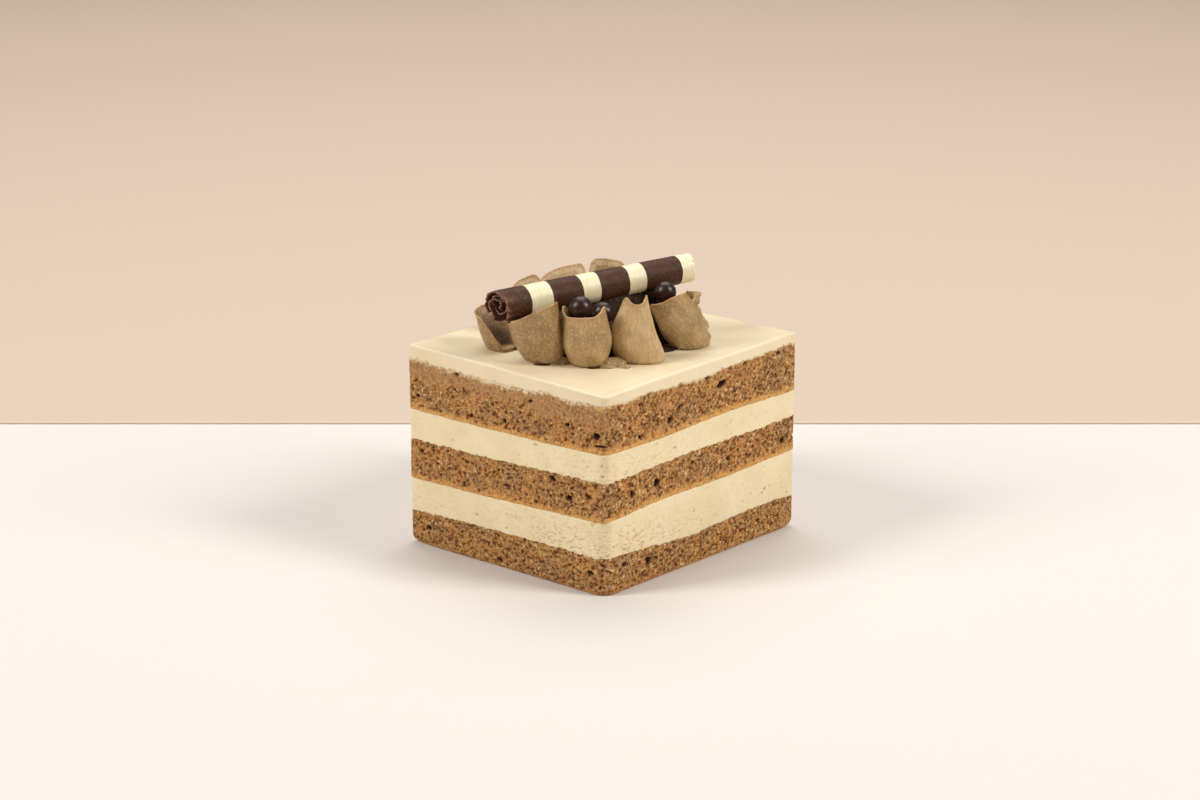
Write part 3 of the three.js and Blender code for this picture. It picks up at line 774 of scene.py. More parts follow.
def cream_material(look):
    """Whipped cream, set and cut with a knife.

    The eye sees a soft matte ivory with fine grey-tan pits, short drag marks and faint cloudiness. The
    grey-tan in the pits and along the drag marks is painted shade.
    """
    material, tree = new_material("set_whipped_cream")
    place = add(tree, "TexCoord").outputs["Object"]
    clouds = add(tree, "TexNoise", {"Vector": place, "Scale": 1 / (7 * MM), "Detail": 3.0})
    cloud = add(tree, "MapRange", {"Value": clouds.outputs["Fac"], "From Min": 0.3, "From Max": 0.7})
    pits, worked, mark = (
        add(tree, "Attribute", attribute_name=name).outputs["Fac"] for name in ("pore", "worked", "mark"))
    # Painted shade: the pit colour where the cut side is sunk, in fine spots and along the drag strokes.
    sunk = add(tree, "MapRange", {"Value": pits, "From Min": 0.0, "From Max": 0.35, "To Max": 0.75})
    cells = add(tree, "TexVoronoi", {"Vector": place, "Scale": 1 / (1.9 * MM)})
    fine = add(tree, "MapRange", {
        "Value": cells.outputs["Distance"], "From Min": 0.04, "From Max": 0.14, "To Min": 0.3, "To Max": 0.0})
    flat = add(tree, "Mapping", {"Vector": place, "Scale": (1.0, 1.0, 2.6)})
    strokes = add(tree, "TexNoise", {"Vector": flat.outputs[0], "Scale": 1 / (1.3 * MM), "Detail": 2.0})
    stroke = add(tree, "MapRange", {
        "Value": strokes.outputs["Fac"], "From Min": 0.55, "From Max": 0.66, "To Max": 0.7})
    dragged = add(tree, "Math", {0: stroke.outputs[0], 1: worked}, operation="MULTIPLY")
    hollow = sunk
    for other in (fine, dragged):
        hollow = add(tree, "Math", {0: hollow.outputs[0], 1: other.outputs[0]}, operation="MAXIMUM")
    tan = add(tree, "Math", {0: mark, 1: 0.55}, operation="MULTIPLY")
    colour = look.cream
    for share, over in ((cloud, look.cream_shade), (hollow, look.pit), (tan, look.smudge)):
        colour = add(tree, "Mix", {0: share.outputs[0], 6: colour, 7: over}, data_type="RGBA").outputs[2]
    grain = add(tree, "TexNoise", {"Vector": place, "Scale": 1 / (0.7 * MM), "Detail": 2.0})
    solid = add(tree, "Math", {0: grain.outputs["Fac"], 1: hollow.outputs[0]}, operation="SUBTRACT")
    relief = add(tree, "Bump", {"Height": solid.outputs[0], "Distance": 0.12 * MM, "Strength": 0.6})
    finish_material(tree, add(tree, "BsdfPrincipled", {
        "Base Color": colour, "Roughness": 0.6, "IOR": 1.45, "Normal": relief.outputs[0]}))
    return material


def icing_height(x, y):
    """Height of the icing's top: nearly flat, with the spatula's long swells and a low lip at the edge."""
    inset = np.minimum(WIDTH / 2 - np.abs(x), DEPTH / 2 - np.abs(y))
    lip = ICING["lip"] * bell(inset - ICING["lip_in"], ICING["lip_width"])
    swell = 0.1 * noise(x, y, 0.0, 13.0, 20) + 0.05 * noise(x, y, 0.0, 5.0, 21)
    return joint_height(TOP_JOINT, x, y) + lip + swell * ease(0.5, 4.0, inset)


def icing_layer(look):
    """Mesh of the icing: a short cut side, a rounded edge and the top."""
    number = ICING["joint"]
    edge = ICING["edge"]
    outline = cut_outline(ICING["inset"], ICING["corner"], look.grid / MM)
    (x, y), (out_x, out_y) = outline.places.T, outline.outs.T
    low = crumbly_height(number, x, y)
    shoulder = icing_height(x, y) - edge
    share = np.linspace(0, 1, 12)[:, None]
    z = low + share * (shoulder - low)
    uneven = cut_relief(x, y, z)
    side = np.stack([x + out_x * uneven, y + out_y * uneven, z], -1)
    turn = np.linspace(0, math.pi / 2, 9)[1:, None]
    inward = edge * (1 - np.cos(turn)) - uneven[-1] * np.cos(turn)
    arc = np.stack([x - out_x * inward, y - out_y * inward, shoulder + edge * np.sin(turn)], -1)
    rings = np.concatenate([side, arc])
    film = wiped_share(x, y, rings[..., 2], low - rings[..., 2])
    drop = rings[-1, :, 2] - rings[..., 2]
    shares = np.concatenate([np.linspace(0.99, 0.9, 8), np.linspace(0.87, 0.05, 22)])
    values = dict(drop=drop, film=film)
    return close_layer(rings, values, partial(joint_height, number), icing_height, shares)


def icing_material(look, crumb_look):
    """Set glaze, poured and smoothed with a spatula.

    The eye sees a smooth ivory with a broad soft sheen on top, long faint streaks of the spatula, and a
    duller side where the knife dragged it and crumb from the sheet below.
    """
    material, tree = new_material("poured_glaze")
    place = add(tree, "TexCoord").outputs["Object"]
    tone = glaze_tone(tree, place, look)
    pores, light, dark = crumb_texture(tree, place, crumb_look)
    # Painted shade in the crumb's bubbles and dark specks, with the sponge's hollow colour.
    hollow = add(tree, "Math", {0: pores, 1: dark}, operation="MAXIMUM").outputs[0]
    film = dabbed_cover(tree, place, add(tree, "Attribute", attribute_name="film").outputs["Fac"])
    colour = crumb_look.grey_crumb
    for share, over in ((light, crumb_look.wall), (hollow, crumb_look.hollow), (film, tone)):
        colour = add(tree, "Mix", {0: share, 6: colour, 7: over}, data_type="RGBA").outputs[2]

    drop = add(tree, "Attribute", attribute_name="drop").outputs["Fac"]
    sheen = add(tree, "MapRange", {
        "Value": drop, "From Min": 0.1, "From Max": 0.7, "To Min": 0.36, "To Max": 0.7})
    stretched = add(tree, "Mapping", {
        "Vector": place, "Rotation": (0.0, 0.0, math.radians(-30)), "Scale": (1.0, 6.0, 1.0)})
    streaks = add(tree, "TexNoise", {"Vector": stretched.outputs[0], "Scale": 1 / (14 * MM), "Detail": 2.0})
    grain = add(tree, "TexNoise", {"Vector": place, "Scale": 1 / (0.7 * MM), "Detail": 1.0})
    dulled = add(tree, "Math", {0: grain.outputs["Fac"], 1: sheen.outputs[0]}, operation="MULTIPLY")
    height = add(tree, "Math", {
        0: dulled.outputs[0], 1: 0.35, 2: streaks.outputs["Fac"]}, operation="MULTIPLY_ADD")
    relief = add(tree, "Bump", {"Height": height.outputs[0], "Distance": 0.2 * MM, "Strength": 0.35})
    finish_material(tree, add(tree, "BsdfPrincipled", {
        "Base Color": colour, "Roughness": sheen.outputs[0], "IOR": 1.45, "Normal": relief.outputs[0]}))
    return material


# --- Toppings ---

def on_cake(points):
    """Points given as along, across and height above the icing, in the cake's own frame."""
    return np.stack([*turned(points[..., 0], points[..., 1], TOPPING_TURN), points[..., 2] + TOP], -1)


def icing_under(along, across):
    """Height of the icing above TOP under a point of the toppings."""
    x, y, _ = on_cake(np.array([along, across, 0.0]))
    return float(joint_height(TOP_JOINT, x, y)) - TOP


def angle_between(one, other):
    """Smallest angle between directions, in radians."""
    return np.abs(np.arctan2(np.sin(one - other), np.cos(one - other)))


def rim_height(petal, turn):
    """Height of a petal's rim at an angle from its outer side."""
    start, end = np.radians(petal["open"])
    drop = np.where(turn % (2 * math.pi) < math.pi, petal["drop"], petal.get("right_drop", petal["drop"]))
    rim = petal["height"] + petal["tilt"] * np.sin(turn) - drop * ease(start, end, angle_between(turn, 0))
    points = [*petal.get("horns", ()), *(wisp[:3] for wisp in petal.get("wisps", ()))]
    for way, rise, spread in points:
        rim = rim + rise * bell(angle_between(turn, math.radians(way)), math.radians(spread))
    return rim


def wall_reach(petal, share, turn):
    """Half width of a petal's wall at a share of its height, with the toe towards an angle."""
    foot, belly, mouth, belly_at = (petal[key] for key in ("foot", "belly", "mouth", "belly_at"))
    way, reach = petal.get("toe", (0, 0.0))
    bulge = reach * bell(share, TOE_HEIGHT) * np.maximum(0, np.cos(turn - math.radians(way))) ** 2
    lower = foot + (belly - foot) * np.sin(np.clip(share / belly_at, 0, 1) * math.pi / 2)
    upper = (mouth - belly) * np.clip((share - belly_at) / (1 - belly_at), 0, 1) ** 1.5
    return lower + upper + bulge


def across_grooves(petal, turn, height):
    """Where a point lies on a circle across the scraper's grooves, which wind up the petal by its slant."""
    swept = turn + petal.get("slant", 0.0) * height / GROOVE_RISE
    return np.cos(swept) * GROOVE_CIRCLE, np.sin(swept) * GROOVE_CIRCLE


def petal_relief(petal, turn, height, reach, seed):
    """The scraper's fine grooves up a petal's wall, over soft lumps, and the torn stretch."""
    around = np.cos(turn), np.sin(turn)
    lumps = noise(around[0] * reach, around[1] * reach, height, 4.2, seed + 2)
    grooved = across_grooves(petal, turn, height)
    broad = noise(*grooved, height / 12, 1.5, seed + 3)
    grooves = noise(*grooved, height / 10, 0.45, seed + 4)
    way, rough = petal.get("torn", (0, 0.0))
    near = bell(angle_between(turn, math.radians(way)), 0.45)
    ragged = noise(around[0] * reach, around[1] * reach, height, 1.1, seed + 5)
    return 0.22 * lumps + 0.1 * broad + PETAL_GROOVE * grooves + rough * near * ragged


def petal_place(petal, turn, reach, height):
    """Points at a reach from a petal's leaning middle line, as along, across and height."""
    share = np.clip(height / petal["height"], 0, 1.1)
    along, across = turned(
        np.cos(turn) * reach * PETAL_FLAT, np.sin(turn) * reach, math.radians(petal["out"]))
    lean, sway = petal["lean"], petal.get("sway", (0.0, 0.0))
    bent, swayed = share ** 1.2, np.sin(math.pi * np.minimum(share, 1))
    return np.stack([
        petal["at"][0] + along + lean[0] * bent + sway[0] * swayed,
        petal["at"][1] + across + lean[1] * bent + sway[1] * swayed,
        icing_under(*petal["at"]) + height + PETAL_LIFT * share,
    ], -1)


def petal_mesh(petal, number):
    """Mesh of one petal and the values that its material reads."""
    sides, wall_rows, scoop_rows = 144, 60, 30
    turn = np.linspace(0, 2 * math.pi, sides, endpoint=False)
    around = np.cos(turn), np.sin(turn)
    seed = 40 + 7 * number
    nicks = 0.09 * noise(*around, 0.0, 0.35, seed) + 0.04 * noise(*around, 0.0, 0.1, seed + 1)
    rim = np.maximum(rim_height(petal, turn), PETAL_LOWEST) + nicks
    flare = PETAL_FLARE * np.ones(sides)
    for way, _, spread, bend in petal.get("wisps", ()):
        flare = flare + bend * bell(angle_between(turn, math.radians(way)), math.radians(spread))

    # The wall, tucked in at the foot and turned out a little at the rim.
    share = 1 - (1 - np.linspace(0, 1, wall_rows)[:, None]) ** 1.15
    height = share * rim
    reach = wall_reach(petal, share, turn)
    reach = reach + petal_relief(petal, turn, height, reach, seed) * ease(0, 0.06, share)
    reach = reach + flare * np.exp(-(rim - height) / 0.7) - PETAL_TUCK * ease(0.07, 0.0, share)
    outer = petal_place(petal, turn, reach, height - 0.25 * (1 - share) ** 6)
    crest = petal_place(petal, turn, reach[-1] - PETAL_RIM / 2, rim + 0.08)[None]

    # The scooped inside, from the rim to the middle of its floor.
    depth = np.linspace(0, 0.985, scoop_rows)[:, None] ** 1.2
    thick = PETAL_RIM + (PETAL_LIP - PETAL_RIM) * ease(0, 0.3, depth)
    floor = petal["height"] - petal["scoop"]
    inner_height = rim + (np.maximum(np.minimum(floor, rim - 0.4), 0.7) - rim) * depth
    inner_reach = (reach[-1] - thick) * np.sqrt(1 - depth ** 2)
    dips = petal_relief(petal, turn, inner_height, inner_reach, seed + 1)
    inner_reach = inner_reach - dips * 0.7 * ease(0, 0.2, depth)
    inner = petal_place(petal, turn, inner_reach, inner_height)
    rings = np.concatenate([outer, crest, inner])

    to_rim = np.concatenate([rim - height, np.zeros((1, sides)), rim - inner_height])
    inside = np.concatenate([np.zeros((wall_rows + 1, sides)), ease(0.0, 0.9, depth) * np.ones(sides)])
    tone = np.full_like(to_rim, petal["tone"])
    rise = rings[..., 2]
    grain = np.stack([*across_grooves(petal, turn, rise), rise / 9 + 3 * number], -1)
    values = dict(rim=to_rim, inside=inside, tone=tone, grain=grain)
    values = {name: ring_values(value) for name, value in values.items()}
    return (*shell(on_cake(rings), on_cake(rings[0].mean(axis=0)), on_cake(rings[-1].mean(axis=0))), values)


def petal_material(look):
    """Firm coffee cream, shaped by scraping.

    The eye sees a satin brown cream with faint fine grooves that run up it, a few pits, and a thin dried rim
    that is more orange where light comes through it.
    """
    material, tree = new_material("scraped_coffee_cream")
    place = add(tree, "TexCoord").outputs["Object"]
    grain = add(tree, "Attribute", attribute_name="grain").outputs["Vector"]
    tone, inside, to_rim = (
        add(tree, "Attribute", attribute_name=name).outputs["Fac"] for name in ("tone", "inside", "rim"))
    clouds, fine, uneven = (
        add(tree, "TexNoise", {"Vector": place, "Scale": 1 / (size * MM), "Detail": detail}).outputs["Fac"]
        for size, detail in ((4.0, 2.0), (0.55, 2.0), (2.5, 1.0)))
    cloud = add(tree, "MapRange", {
        "Value": clouds, "From Min": 0.35, "From Max": 0.65, "To Min": -0.25, "To Max": 0.25})
    # Painted light and shade: the petal's tone makes it lighter where it is lit and darker in shade; the
    # clouds vary it at random.
    lighter = add(tree, "Math", {0: tone, 1: cloud.outputs[0]}, operation="ADD", use_clamp=True)
    streaks = add(tree, "TexNoise", {"Vector": grain, "Scale": 3.6, "Detail": 2.0})
    streak = add(tree, "MapRange", {
        "Value": streaks.outputs["Fac"], "From Min": 0.35, "From Max": 0.65, "To Max": 0.4})
    specks = add(tree, "MapRange", {"Value": fine, "From Min": 0.53, "From Max": 0.66, "To Max": 0.55})
    # The pits are darkened with the groove colour as painted shade; the grooves' darker tone is the cream's
    # own.
    cells = add(tree, "TexVoronoi", {"Vector": place, "Scale": 1 / (1.4 * MM)})
    pits = add(tree, "MapRange", {
        "Value": cells.outputs["Distance"], "From Min": 0.06, "From Max": 0.15, "To Min": 0.55,
        "To Max": 0.0})

    # Painted shade: the scooped inside is darker towards its floor. Painted light comes through under the
    # rim, whose edge is dry.
    deeper = add(tree, "Math", {0: inside, 1: 2.0}, operation="POWER")
    painted_inner_shade = add(tree, "Math", {0: deeper.outputs[0], 1: 0.85}, operation="MULTIPLY")
    reach = add(tree, "Math", {0: uneven, 1: 3.0}, operation="MULTIPLY")
    glow = add(tree, "MapRange", {
        "Value": to_rim, "From Min": 0.0, "From Max": reach.outputs[0], "To Min": 0.5, "To Max": 0.0})
    worn = add(tree, "MapRange", {"Value": uneven, "From Min": 0.35, "From Max": 0.6, "To Max": 0.75})
    edge = add(tree, "MapRange", {
        "Value": to_rim, "From Min": 0.08, "From Max": 0.35, "To Min": worn.outputs[0], "To Max": 0.0})
    colour = look.cream
    for share, over in (
            (lighter, look.cream_light),
            (streak, look.groove),
            (specks, look.cream_light),
            (pits, look.groove),
            (painted_inner_shade, look.inner),
            (glow, look.rim_shade),
            (edge, look.rim)):
        colour = add(tree, "Mix", {0: share.outputs[0], 6: colour, 7: over}, data_type="RGBA").outputs[2]

    bumps = add(tree, "Math", {0: fine, 1: 0.8, 2: streaks.outputs["Fac"]}, operation="MULTIPLY_ADD")
    height = add(tree, "Math", {0: bumps.outputs[0], 1: pits.outputs[0]}, operation="SUBTRACT")
    relief = add(tree, "Bump", {"Height": height.outputs[0], "Distance": 0.2 * MM, "Strength": 0.85})
    sheen = add(tree, "Math", {0: inside, 1: 0.5, 2: 0.28}, operation="MULTIPLY_ADD")
    finish_material(tree, add(tree, "BsdfPrincipled", {
        "Base Color": colour, "Roughness": sheen.outputs[0], "IOR": 1.5, "Normal": relief.outputs[0]}))
    return material


def lump(at, length, width, height, turn, seed, rough):
    """Shell of a low uneven lump of cream that lies on the icing."""
    sides = max(48, round(length * 5))
    way = np.linspace(0, 2 * math.pi, sides, endpoint=False)
    waver = 1 + 0.22 * noise(np.cos(way), np.sin(way), 0.0, 0.5, seed)

    # Two rings under the icing, and then a dome.
    share = np.linspace(1.0, 0.03, max(14, round(length * 1.5)))
    out = np.concatenate([[0.94, 0.98], share])[:, None] * waver
    up = np.concatenate([[-0.3, -0.1], (1 - share ** 2) ** 0.5])[:, None]
    u, v = out * np.cos(way) * length / 2, out * np.sin(way) * width / 2
    bumps = noise(u, v, 0.0, 2.4, seed + 1) + 0.6 * noise(u, v, 0.0, 0.9, seed + 2)
    rise = up * height + rough * bumps * np.clip(up, 0, 1)
    along, across = turned(u, v, math.radians(turn))
    rings = on_cake(np.stack([at[0] + along, at[1] + across, rise + icing_under(*at)], -1))
    return shell(rings, rings[0].mean(axis=0), rings[-1].mean(axis=0))


def spread_meshes():
    """Meshes of the heaps inside the ring and of the smears, joined, and which faces carry the painted shade.
    """
    heaps = [lump(*heap, seed=80 + 3 * number, rough=min(0.6, 0.6 * heap.height))
             for number, heap in enumerate(HEAPS)]
    smears = [lump(*smear, seed=90 + 3 * number, rough=0.35) for number, smear in enumerate(SMEARS)]
    parts = heaps + smears
    firsts = np.cumsum([0] + [len(part[0]) for part in parts[:-1]])
    vertices = np.concatenate([part[0] for part in parts])
    quads = np.concatenate([part[1] + first for part, first in zip(parts, firsts)])
    triangles = np.concatenate([part[2] + first for part, first in zip(parts, firsts)])
    count = len(vertices)
    values = dict(
        rim=np.full(count, FAR_FROM_RIM), inside=np.zeros(count), tone=np.full(count, SMEAR_TONE),
        grain=vertices / 2)
    # The heaps, with the flat patches at the feet, get the painted-shade material; the smears keep the coffee
    # cream.
    shade_faces = [np.full(len(part[kind]), int(number < len(heaps))) for kind in (1, 2)
              for number, part in enumerate(parts)]
    return vertices, quads, triangles, values, np.concatenate(shade_faces)


def painted_shade_material(look):
    """Painted shade: coffee cream coloured a very dark brown where shade falls.

    The eye sees a dull, uneven, very dark brown between the petals and under the roll, and at the petals'
    feet.
    """
    material, tree = new_material("painted_shade_cream")
    place = add(tree, "TexCoord").outputs["Object"]
    shade_mottle = add(tree, "TexNoise", {"Vector": place, "Scale": 1 / (1.1 * MM), "Detail": 4.0})
    # The painted shade is mottled between two very dark browns.
    thick = add(tree, "MapRange", {"Value": shade_mottle.outputs["Fac"], "From Min": 0.4, "From Max": 0.65})
    colour = add(tree, "Mix", {0: thick.outputs[0], 6: look.painted_shade, 7: look.painted_shade_thin}, data_type="RGBA")
    relief = add(tree, "Bump", {"Height": shade_mottle.outputs["Fac"], "Distance": 0.25 * MM, "Strength": 0.7})
    finish_material(tree, add(tree, "BsdfPrincipled", {
        "Base Color": colour.outputs[2], "Roughness": 0.9, "IOR": 1.4, "Normal": relief.outputs[0]}))
    return material


def roll_outer(wound):
    """Outer radius of the wound sheet after a number of turns from its free edge.

    The first turn keeps the full radius. Then the sheet dips under its own edge and curls in, loosely.
    """
    dip = (ROLL_SHEET + 0.35) * ease(0.86, 1.04, wound)
    later = np.clip(wound - 1.02, 0, None)
    loose = ease(0, 0.3, later) * (
        0.55 * np.sin(2 * math.pi * later * 1.35 + 0.6) + 0.2 * np.sin(2 * math.pi * later * 3.3))
    return ROLL_RADIUS - 0.05 - 0.08 * np.minimum(wound, 1) - dip - ROLL_PITCH * later - loose


def roll_mesh():
    """Mesh of the striped roll, the values that its materials read, and which faces are ivory."""
    start, end = on_cake(np.array(ROLL_START)), on_cake(np.array(ROLL_END))
    length = np.linalg.norm(end - start)
    axis = (end - start) / length
    back = on_cake(np.array([0.0, 1.0, 0.0])) - on_cake(np.zeros(3))
    seam = back - axis * np.dot(back, axis) - np.array([0, 0, 0.5])  # the free edge lies behind, low down
    first = seam - axis * np.dot(seam, axis)
    first /= np.linalg.norm(first)
    second = np.cross(axis, first)

    # Rows of points along the roll, close together at the ends and exactly where two stripes meet.
    stops = [0.0, 1.0, 3.0, *ROLL_STRIPES, length - 1.0, length]
    steps = [0.2, 0.35] + [0.6] * (len(stops) - 4) + [0.25]
    rows = [np.linspace(a, b, max(2, round((b - a) / step)), endpoint=False)
            for a, b, step in zip(stops, stops[1:], steps)]
    along = np.concatenate([*rows, [length]])[:, None]
    wound = np.linspace(0, ROLL_TURNS, int(ROLL_TURNS * ROLL_SIDES) + 1)
    loop = np.concatenate([wound, wound[::-1]])
    inner = np.concatenate([np.zeros_like(wound), np.ones_like(wound)])
    angle = 2 * math.pi * loop
    radius = roll_outer(loop) - inner * ROLL_SHEET
    around = np.cos(angle) * radius, np.sin(angle) * radius

    # Both ends are broken: the torn one aslant, with its front and low side standing back, the clean one
    # only chipped.
    low_front = -back - np.array([0, 0, 0.2])
    front = (np.cos(angle) * np.dot(first, low_front) + np.sin(angle) * np.dot(second, low_front)) * radius
    rough = noise(*around, loop * 4, 1.5, 60) + 0.7 * noise(*around, loop * 4, 0.5, 61)
    torn = 1.0 + ROLL_TEAR * front / ROLL_RADIUS + 0.5 * rough + 0.4 * ease(0.9, 1.6, loop)
    clean = -0.3 + 0.3 * front / ROLL_RADIUS + 0.6 * rough
    waver = 0.12 * noise(*around, along, 2.6, 62)
    place = along + torn * np.clip(1 - along / 5, 0, 1) - clean * np.clip(1 - (length - along) / 2, 0, 1)
    place = place + waver * ease(0, 2, along) * ease(0, 1.5, length - along)
    dents = 0.06 * noise(*around, place, 3.5, 63) + 0.03 * noise(*around, place, 0.9, 64)
    radius = radius + dents - 0.12 * np.exp(-along / 0.5) - ROLL_TAPER * along / length
    parts = (axis, place), (first, np.cos(angle) * radius), (second, np.sin(angle) * radius)
    rings = start + sum(way * reach[..., None] for way, reach in parts)

    # The cut through the sheet closes both ends, facing the other way at the far one.
    count = len(loop)
    half = np.arange(len(wound) - 1)
    facing = count - 1 - half
    start_cap = np.stack([half, facing, facing - 1, half + 1], -1)
    end_cap = start_cap[:, [0, 3, 2, 1]] + (len(along) - 1) * count
    middle = (along[:-1, 0] + along[1:, 0]) / 2
    ivory = np.searchsorted(ROLL_STRIPES, middle) % 2
    face_ivory = np.concatenate([np.repeat(ivory, count), np.repeat(ivory[[0, -1]], len(half))])
    flakes = 0.65 * np.exp(-along / 0.25) + 0.4 * np.exp(-along / 3.0) * ease(0.2, 0.7, rough)
    spread = np.broadcast_to(around[0], place.shape), np.broadcast_to(around[1], place.shape)
    grain = np.stack([place / 0.35, *spread], -1)
    values = dict(torn=np.clip(flakes, 0, 1).reshape(-1), grain=grain.reshape(-1, 3))
    quads = np.concatenate([quads_between(len(along), count), start_cap, end_cap])
    return rings.reshape(-1, 3), quads, np.zeros((0, 3), int), values, face_ivory


def dark_chocolate_material(look):
    """Dark chocolate, spread thin and rolled.

    The eye sees a dull red-brown with a little bloom, fine pale specks that are painted glints, and lighter
    flakes where it is torn.
    """
    material, tree = new_material("dark_chocolate_rolled")
    place = add(tree, "TexCoord").outputs["Object"]
    mottle = add(tree, "TexNoise", {"Vector": place, "Scale": 1 / (1.6 * MM), "Detail": 4.0})
    bloom = add(tree, "MapRange", {"Value": mottle.outputs["Fac"], "From Min": 0.4, "From Max": 0.75})
    grit = add(tree, "TexNoise", {"Vector": place, "Scale": 1 / (0.42 * MM), "Detail": 2.0})
    # Painted glints: fine pale specks all over.
    specks = add(tree, "MapRange", {
        "Value": grit.outputs["Fac"], "From Min": 0.57, "From Max": 0.72, "To Max": 0.3})
    torn = add(tree, "Attribute", attribute_name="torn").outputs["Fac"]
    flaky = add(tree, "MapRange", {"Value": grit.outputs["Fac"], "From Min": 0.36, "From Max": 0.5})
    flakes = add(tree, "Math", {0: torn, 1: flaky.outputs[0]}, operation="MULTIPLY")
    colour = look.dark
    for share, over in ((bloom, look.bloom), (specks, look.torn), (flakes, look.torn)):
        colour = add(tree, "Mix", {0: share.outputs[0], 6: colour, 7: over}, data_type="RGBA").outputs[2]
    relief = add(tree, "Bump", {"Height": grit.outputs["Fac"], "Distance": 0.12 * MM, "Strength": 0.6})
    finish_material(tree, add(tree, "BsdfPrincipled", {
        "Base Color": colour, "Roughness": 0.5, "IOR": 1.45, "Specular IOR Level": 0.16,
        "Normal": relief.outputs[0]}))
    return material


def ivory_chocolate_material(look):
    """White chocolate, spread thin and rolled.

    The eye sees a warm ivory, slightly clear, with fine lines round the roll.
    """
    material, tree = new_material("white_chocolate_rolled")
    grain = add(tree, "Attribute", attribute_name="grain").outputs["Vector"]
    lines = add(tree, "TexNoise", {"Vector": grain, "Scale": 0.7, "Detail": 2.0})
    line = add(tree, "MapRange", {"Value": lines.outputs["Fac"], "From Min": 0.35, "From Max": 0.7})
    colour = add(tree, "Mix", {0: line.outputs[0], 6: look.ivory, 7: look.ivory_shade}, data_type="RGBA")
    relief = add(tree, "Bump", {"Height": lines.outputs["Fac"], "Distance": 0.08 * MM, "Strength": 0.5})
    finish_material(tree, add(tree, "BsdfPrincipled", {
        "Base Color": colour.outputs[2], "Roughness": 0.42, "IOR": 1.45, "Normal": relief.outputs[0]}))
    return material


def pearl_mesh(pearl, number):
    """Mesh of one pearl: a ball with the slight unevenness of a dipped centre."""
    rows, sides = 48, 72
    height = np.linspace(0, math.pi, rows + 2)[1:-1, None]
    turn = np.linspace(0, 2 * math.pi, sides, endpoint=False)
    sideways = np.sin(height)
    way = np.stack([sideways * np.cos(turn), sideways * np.sin(turn), -np.cos(height) + 0 * turn], -1)
    uneven = noise(way[..., 0], way[..., 1], way[..., 2], 0.9, 70 + number)
    reach = pearl["radius"] * (0.985 + 0.012 * uneven)
    rings = on_cake(np.array(pearl["at"]) + way * reach[..., None])
    centre = on_cake(np.array(pearl["at"]))
    pole = np.array([0, 0, pearl["radius"] * 0.985])
    return shell(rings, centre - pole, centre + pole)


def glazed_chocolate_material(look):
    """Crisp centre, panned in dark chocolate and polished with glaze.

    The eye sees a nearly black ball with sharp reflections of the lights.
    """
    material, tree = new_material("panned_chocolate_glazed")
    place = add(tree, "TexCoord").outputs["Object"]
    mottle = add(tree, "TexNoise", {"Vector": place, "Scale": 1 / (1.8 * MM), "Detail": 2.0})
    colour = add(tree, "Mix", {
        0: mottle.outputs["Fac"], 6: look.pearl, 7: look.pearl_light}, data_type="RGBA")
    relief = add(tree, "Bump", {"Height": mottle.outputs["Fac"], "Distance": 0.06 * MM, "Strength": 0.3})
    finish_material(tree, add(tree, "BsdfPrincipled", {
        "Base Color": colour.outputs[2], "Roughness": 0.34, "IOR": 1.45, "Normal": relief.outputs[0]}))
    return material


# --- Settings ---

def colour_setting(name, colour, description):
    """A colour in the sidebar."""
    return FloatVectorProperty(
        name=name, description=description, default=linear(colour), size=3, min=0.0, max=1.0, subtype="COLOR")


def length_setting(name, millimetres, description):
    """A length in the sidebar, kept in metres."""
    return FloatProperty(
        name=name, description=description, default=millimetres * MM, min=0.0, precision=5, unit="LENGTH",
        subtype="DISTANCE")


def power_setting(name, watts, description):
    """The power of a light in the sidebar."""
    return FloatProperty(name=name, description=description, default=watts, min=0.0, unit="POWER")


class SpongeLook(bpy.types.PropertyGroup):
    """Sizes and colours of the sponge sheets."""
    grid: length_setting("Grid", 0.26, "Distance between mesh points on the cut sides")
    bubble: length_setting("Bubble", 0.64, "Usual distance between small bubbles")
    crumb: colour_setting("Crumb", "#cd8d47", "Baked crumb")
    grey_crumb: colour_setting("Grey crumb", "#b08151", "Patches of greyer crumb")
    wall: colour_setting("Bubble wall", "#f4c889", "Thin walls between bubbles, seen against the light")
    # Hollow and deep hollow are painted shade in the bubbles.
    hollow: colour_setting("Hollow", "#64330a", "Inside of the bubbles")
    deep_hollow: colour_setting("Deep hollow", "#2c1508", "Bottom of the large bubbles")
    crust: colour_setting("Crust", "#e4a556", "Baked skin under a sheet")
    crust_wall: colour_setting("Light crust", "#f2c27c", "Light specks in the baked skin")
    pale_lump: colour_setting("Pale lump", "#dcb76e", "Lumps of paler crumb")


class CreamLook(bpy.types.PropertyGroup):
    """Sizes and colours of the cream bands and the icing."""
    grid: length_setting("Grid", 0.3, "Distance between mesh points on the cut sides")
    cream: colour_setting("Cream", "#f1dfb9", "Set cream")
    cream_shade: colour_setting("Cream shade", "#ead4a8", "Cloudy patches in the cream")
    # Pit is painted shade in the pits and scratches.
    pit: colour_setting("Pit", "#b8935f", "Pits and scratches")
    smudge: colour_setting("Smudge", "#c89a5c", "Tan smudges")
    glaze: colour_setting("Glaze", "#eedcb8", "Icing on top")
    glaze_shade: colour_setting("Glaze shade", "#e7d2ac", "Cloudy patches in the icing")


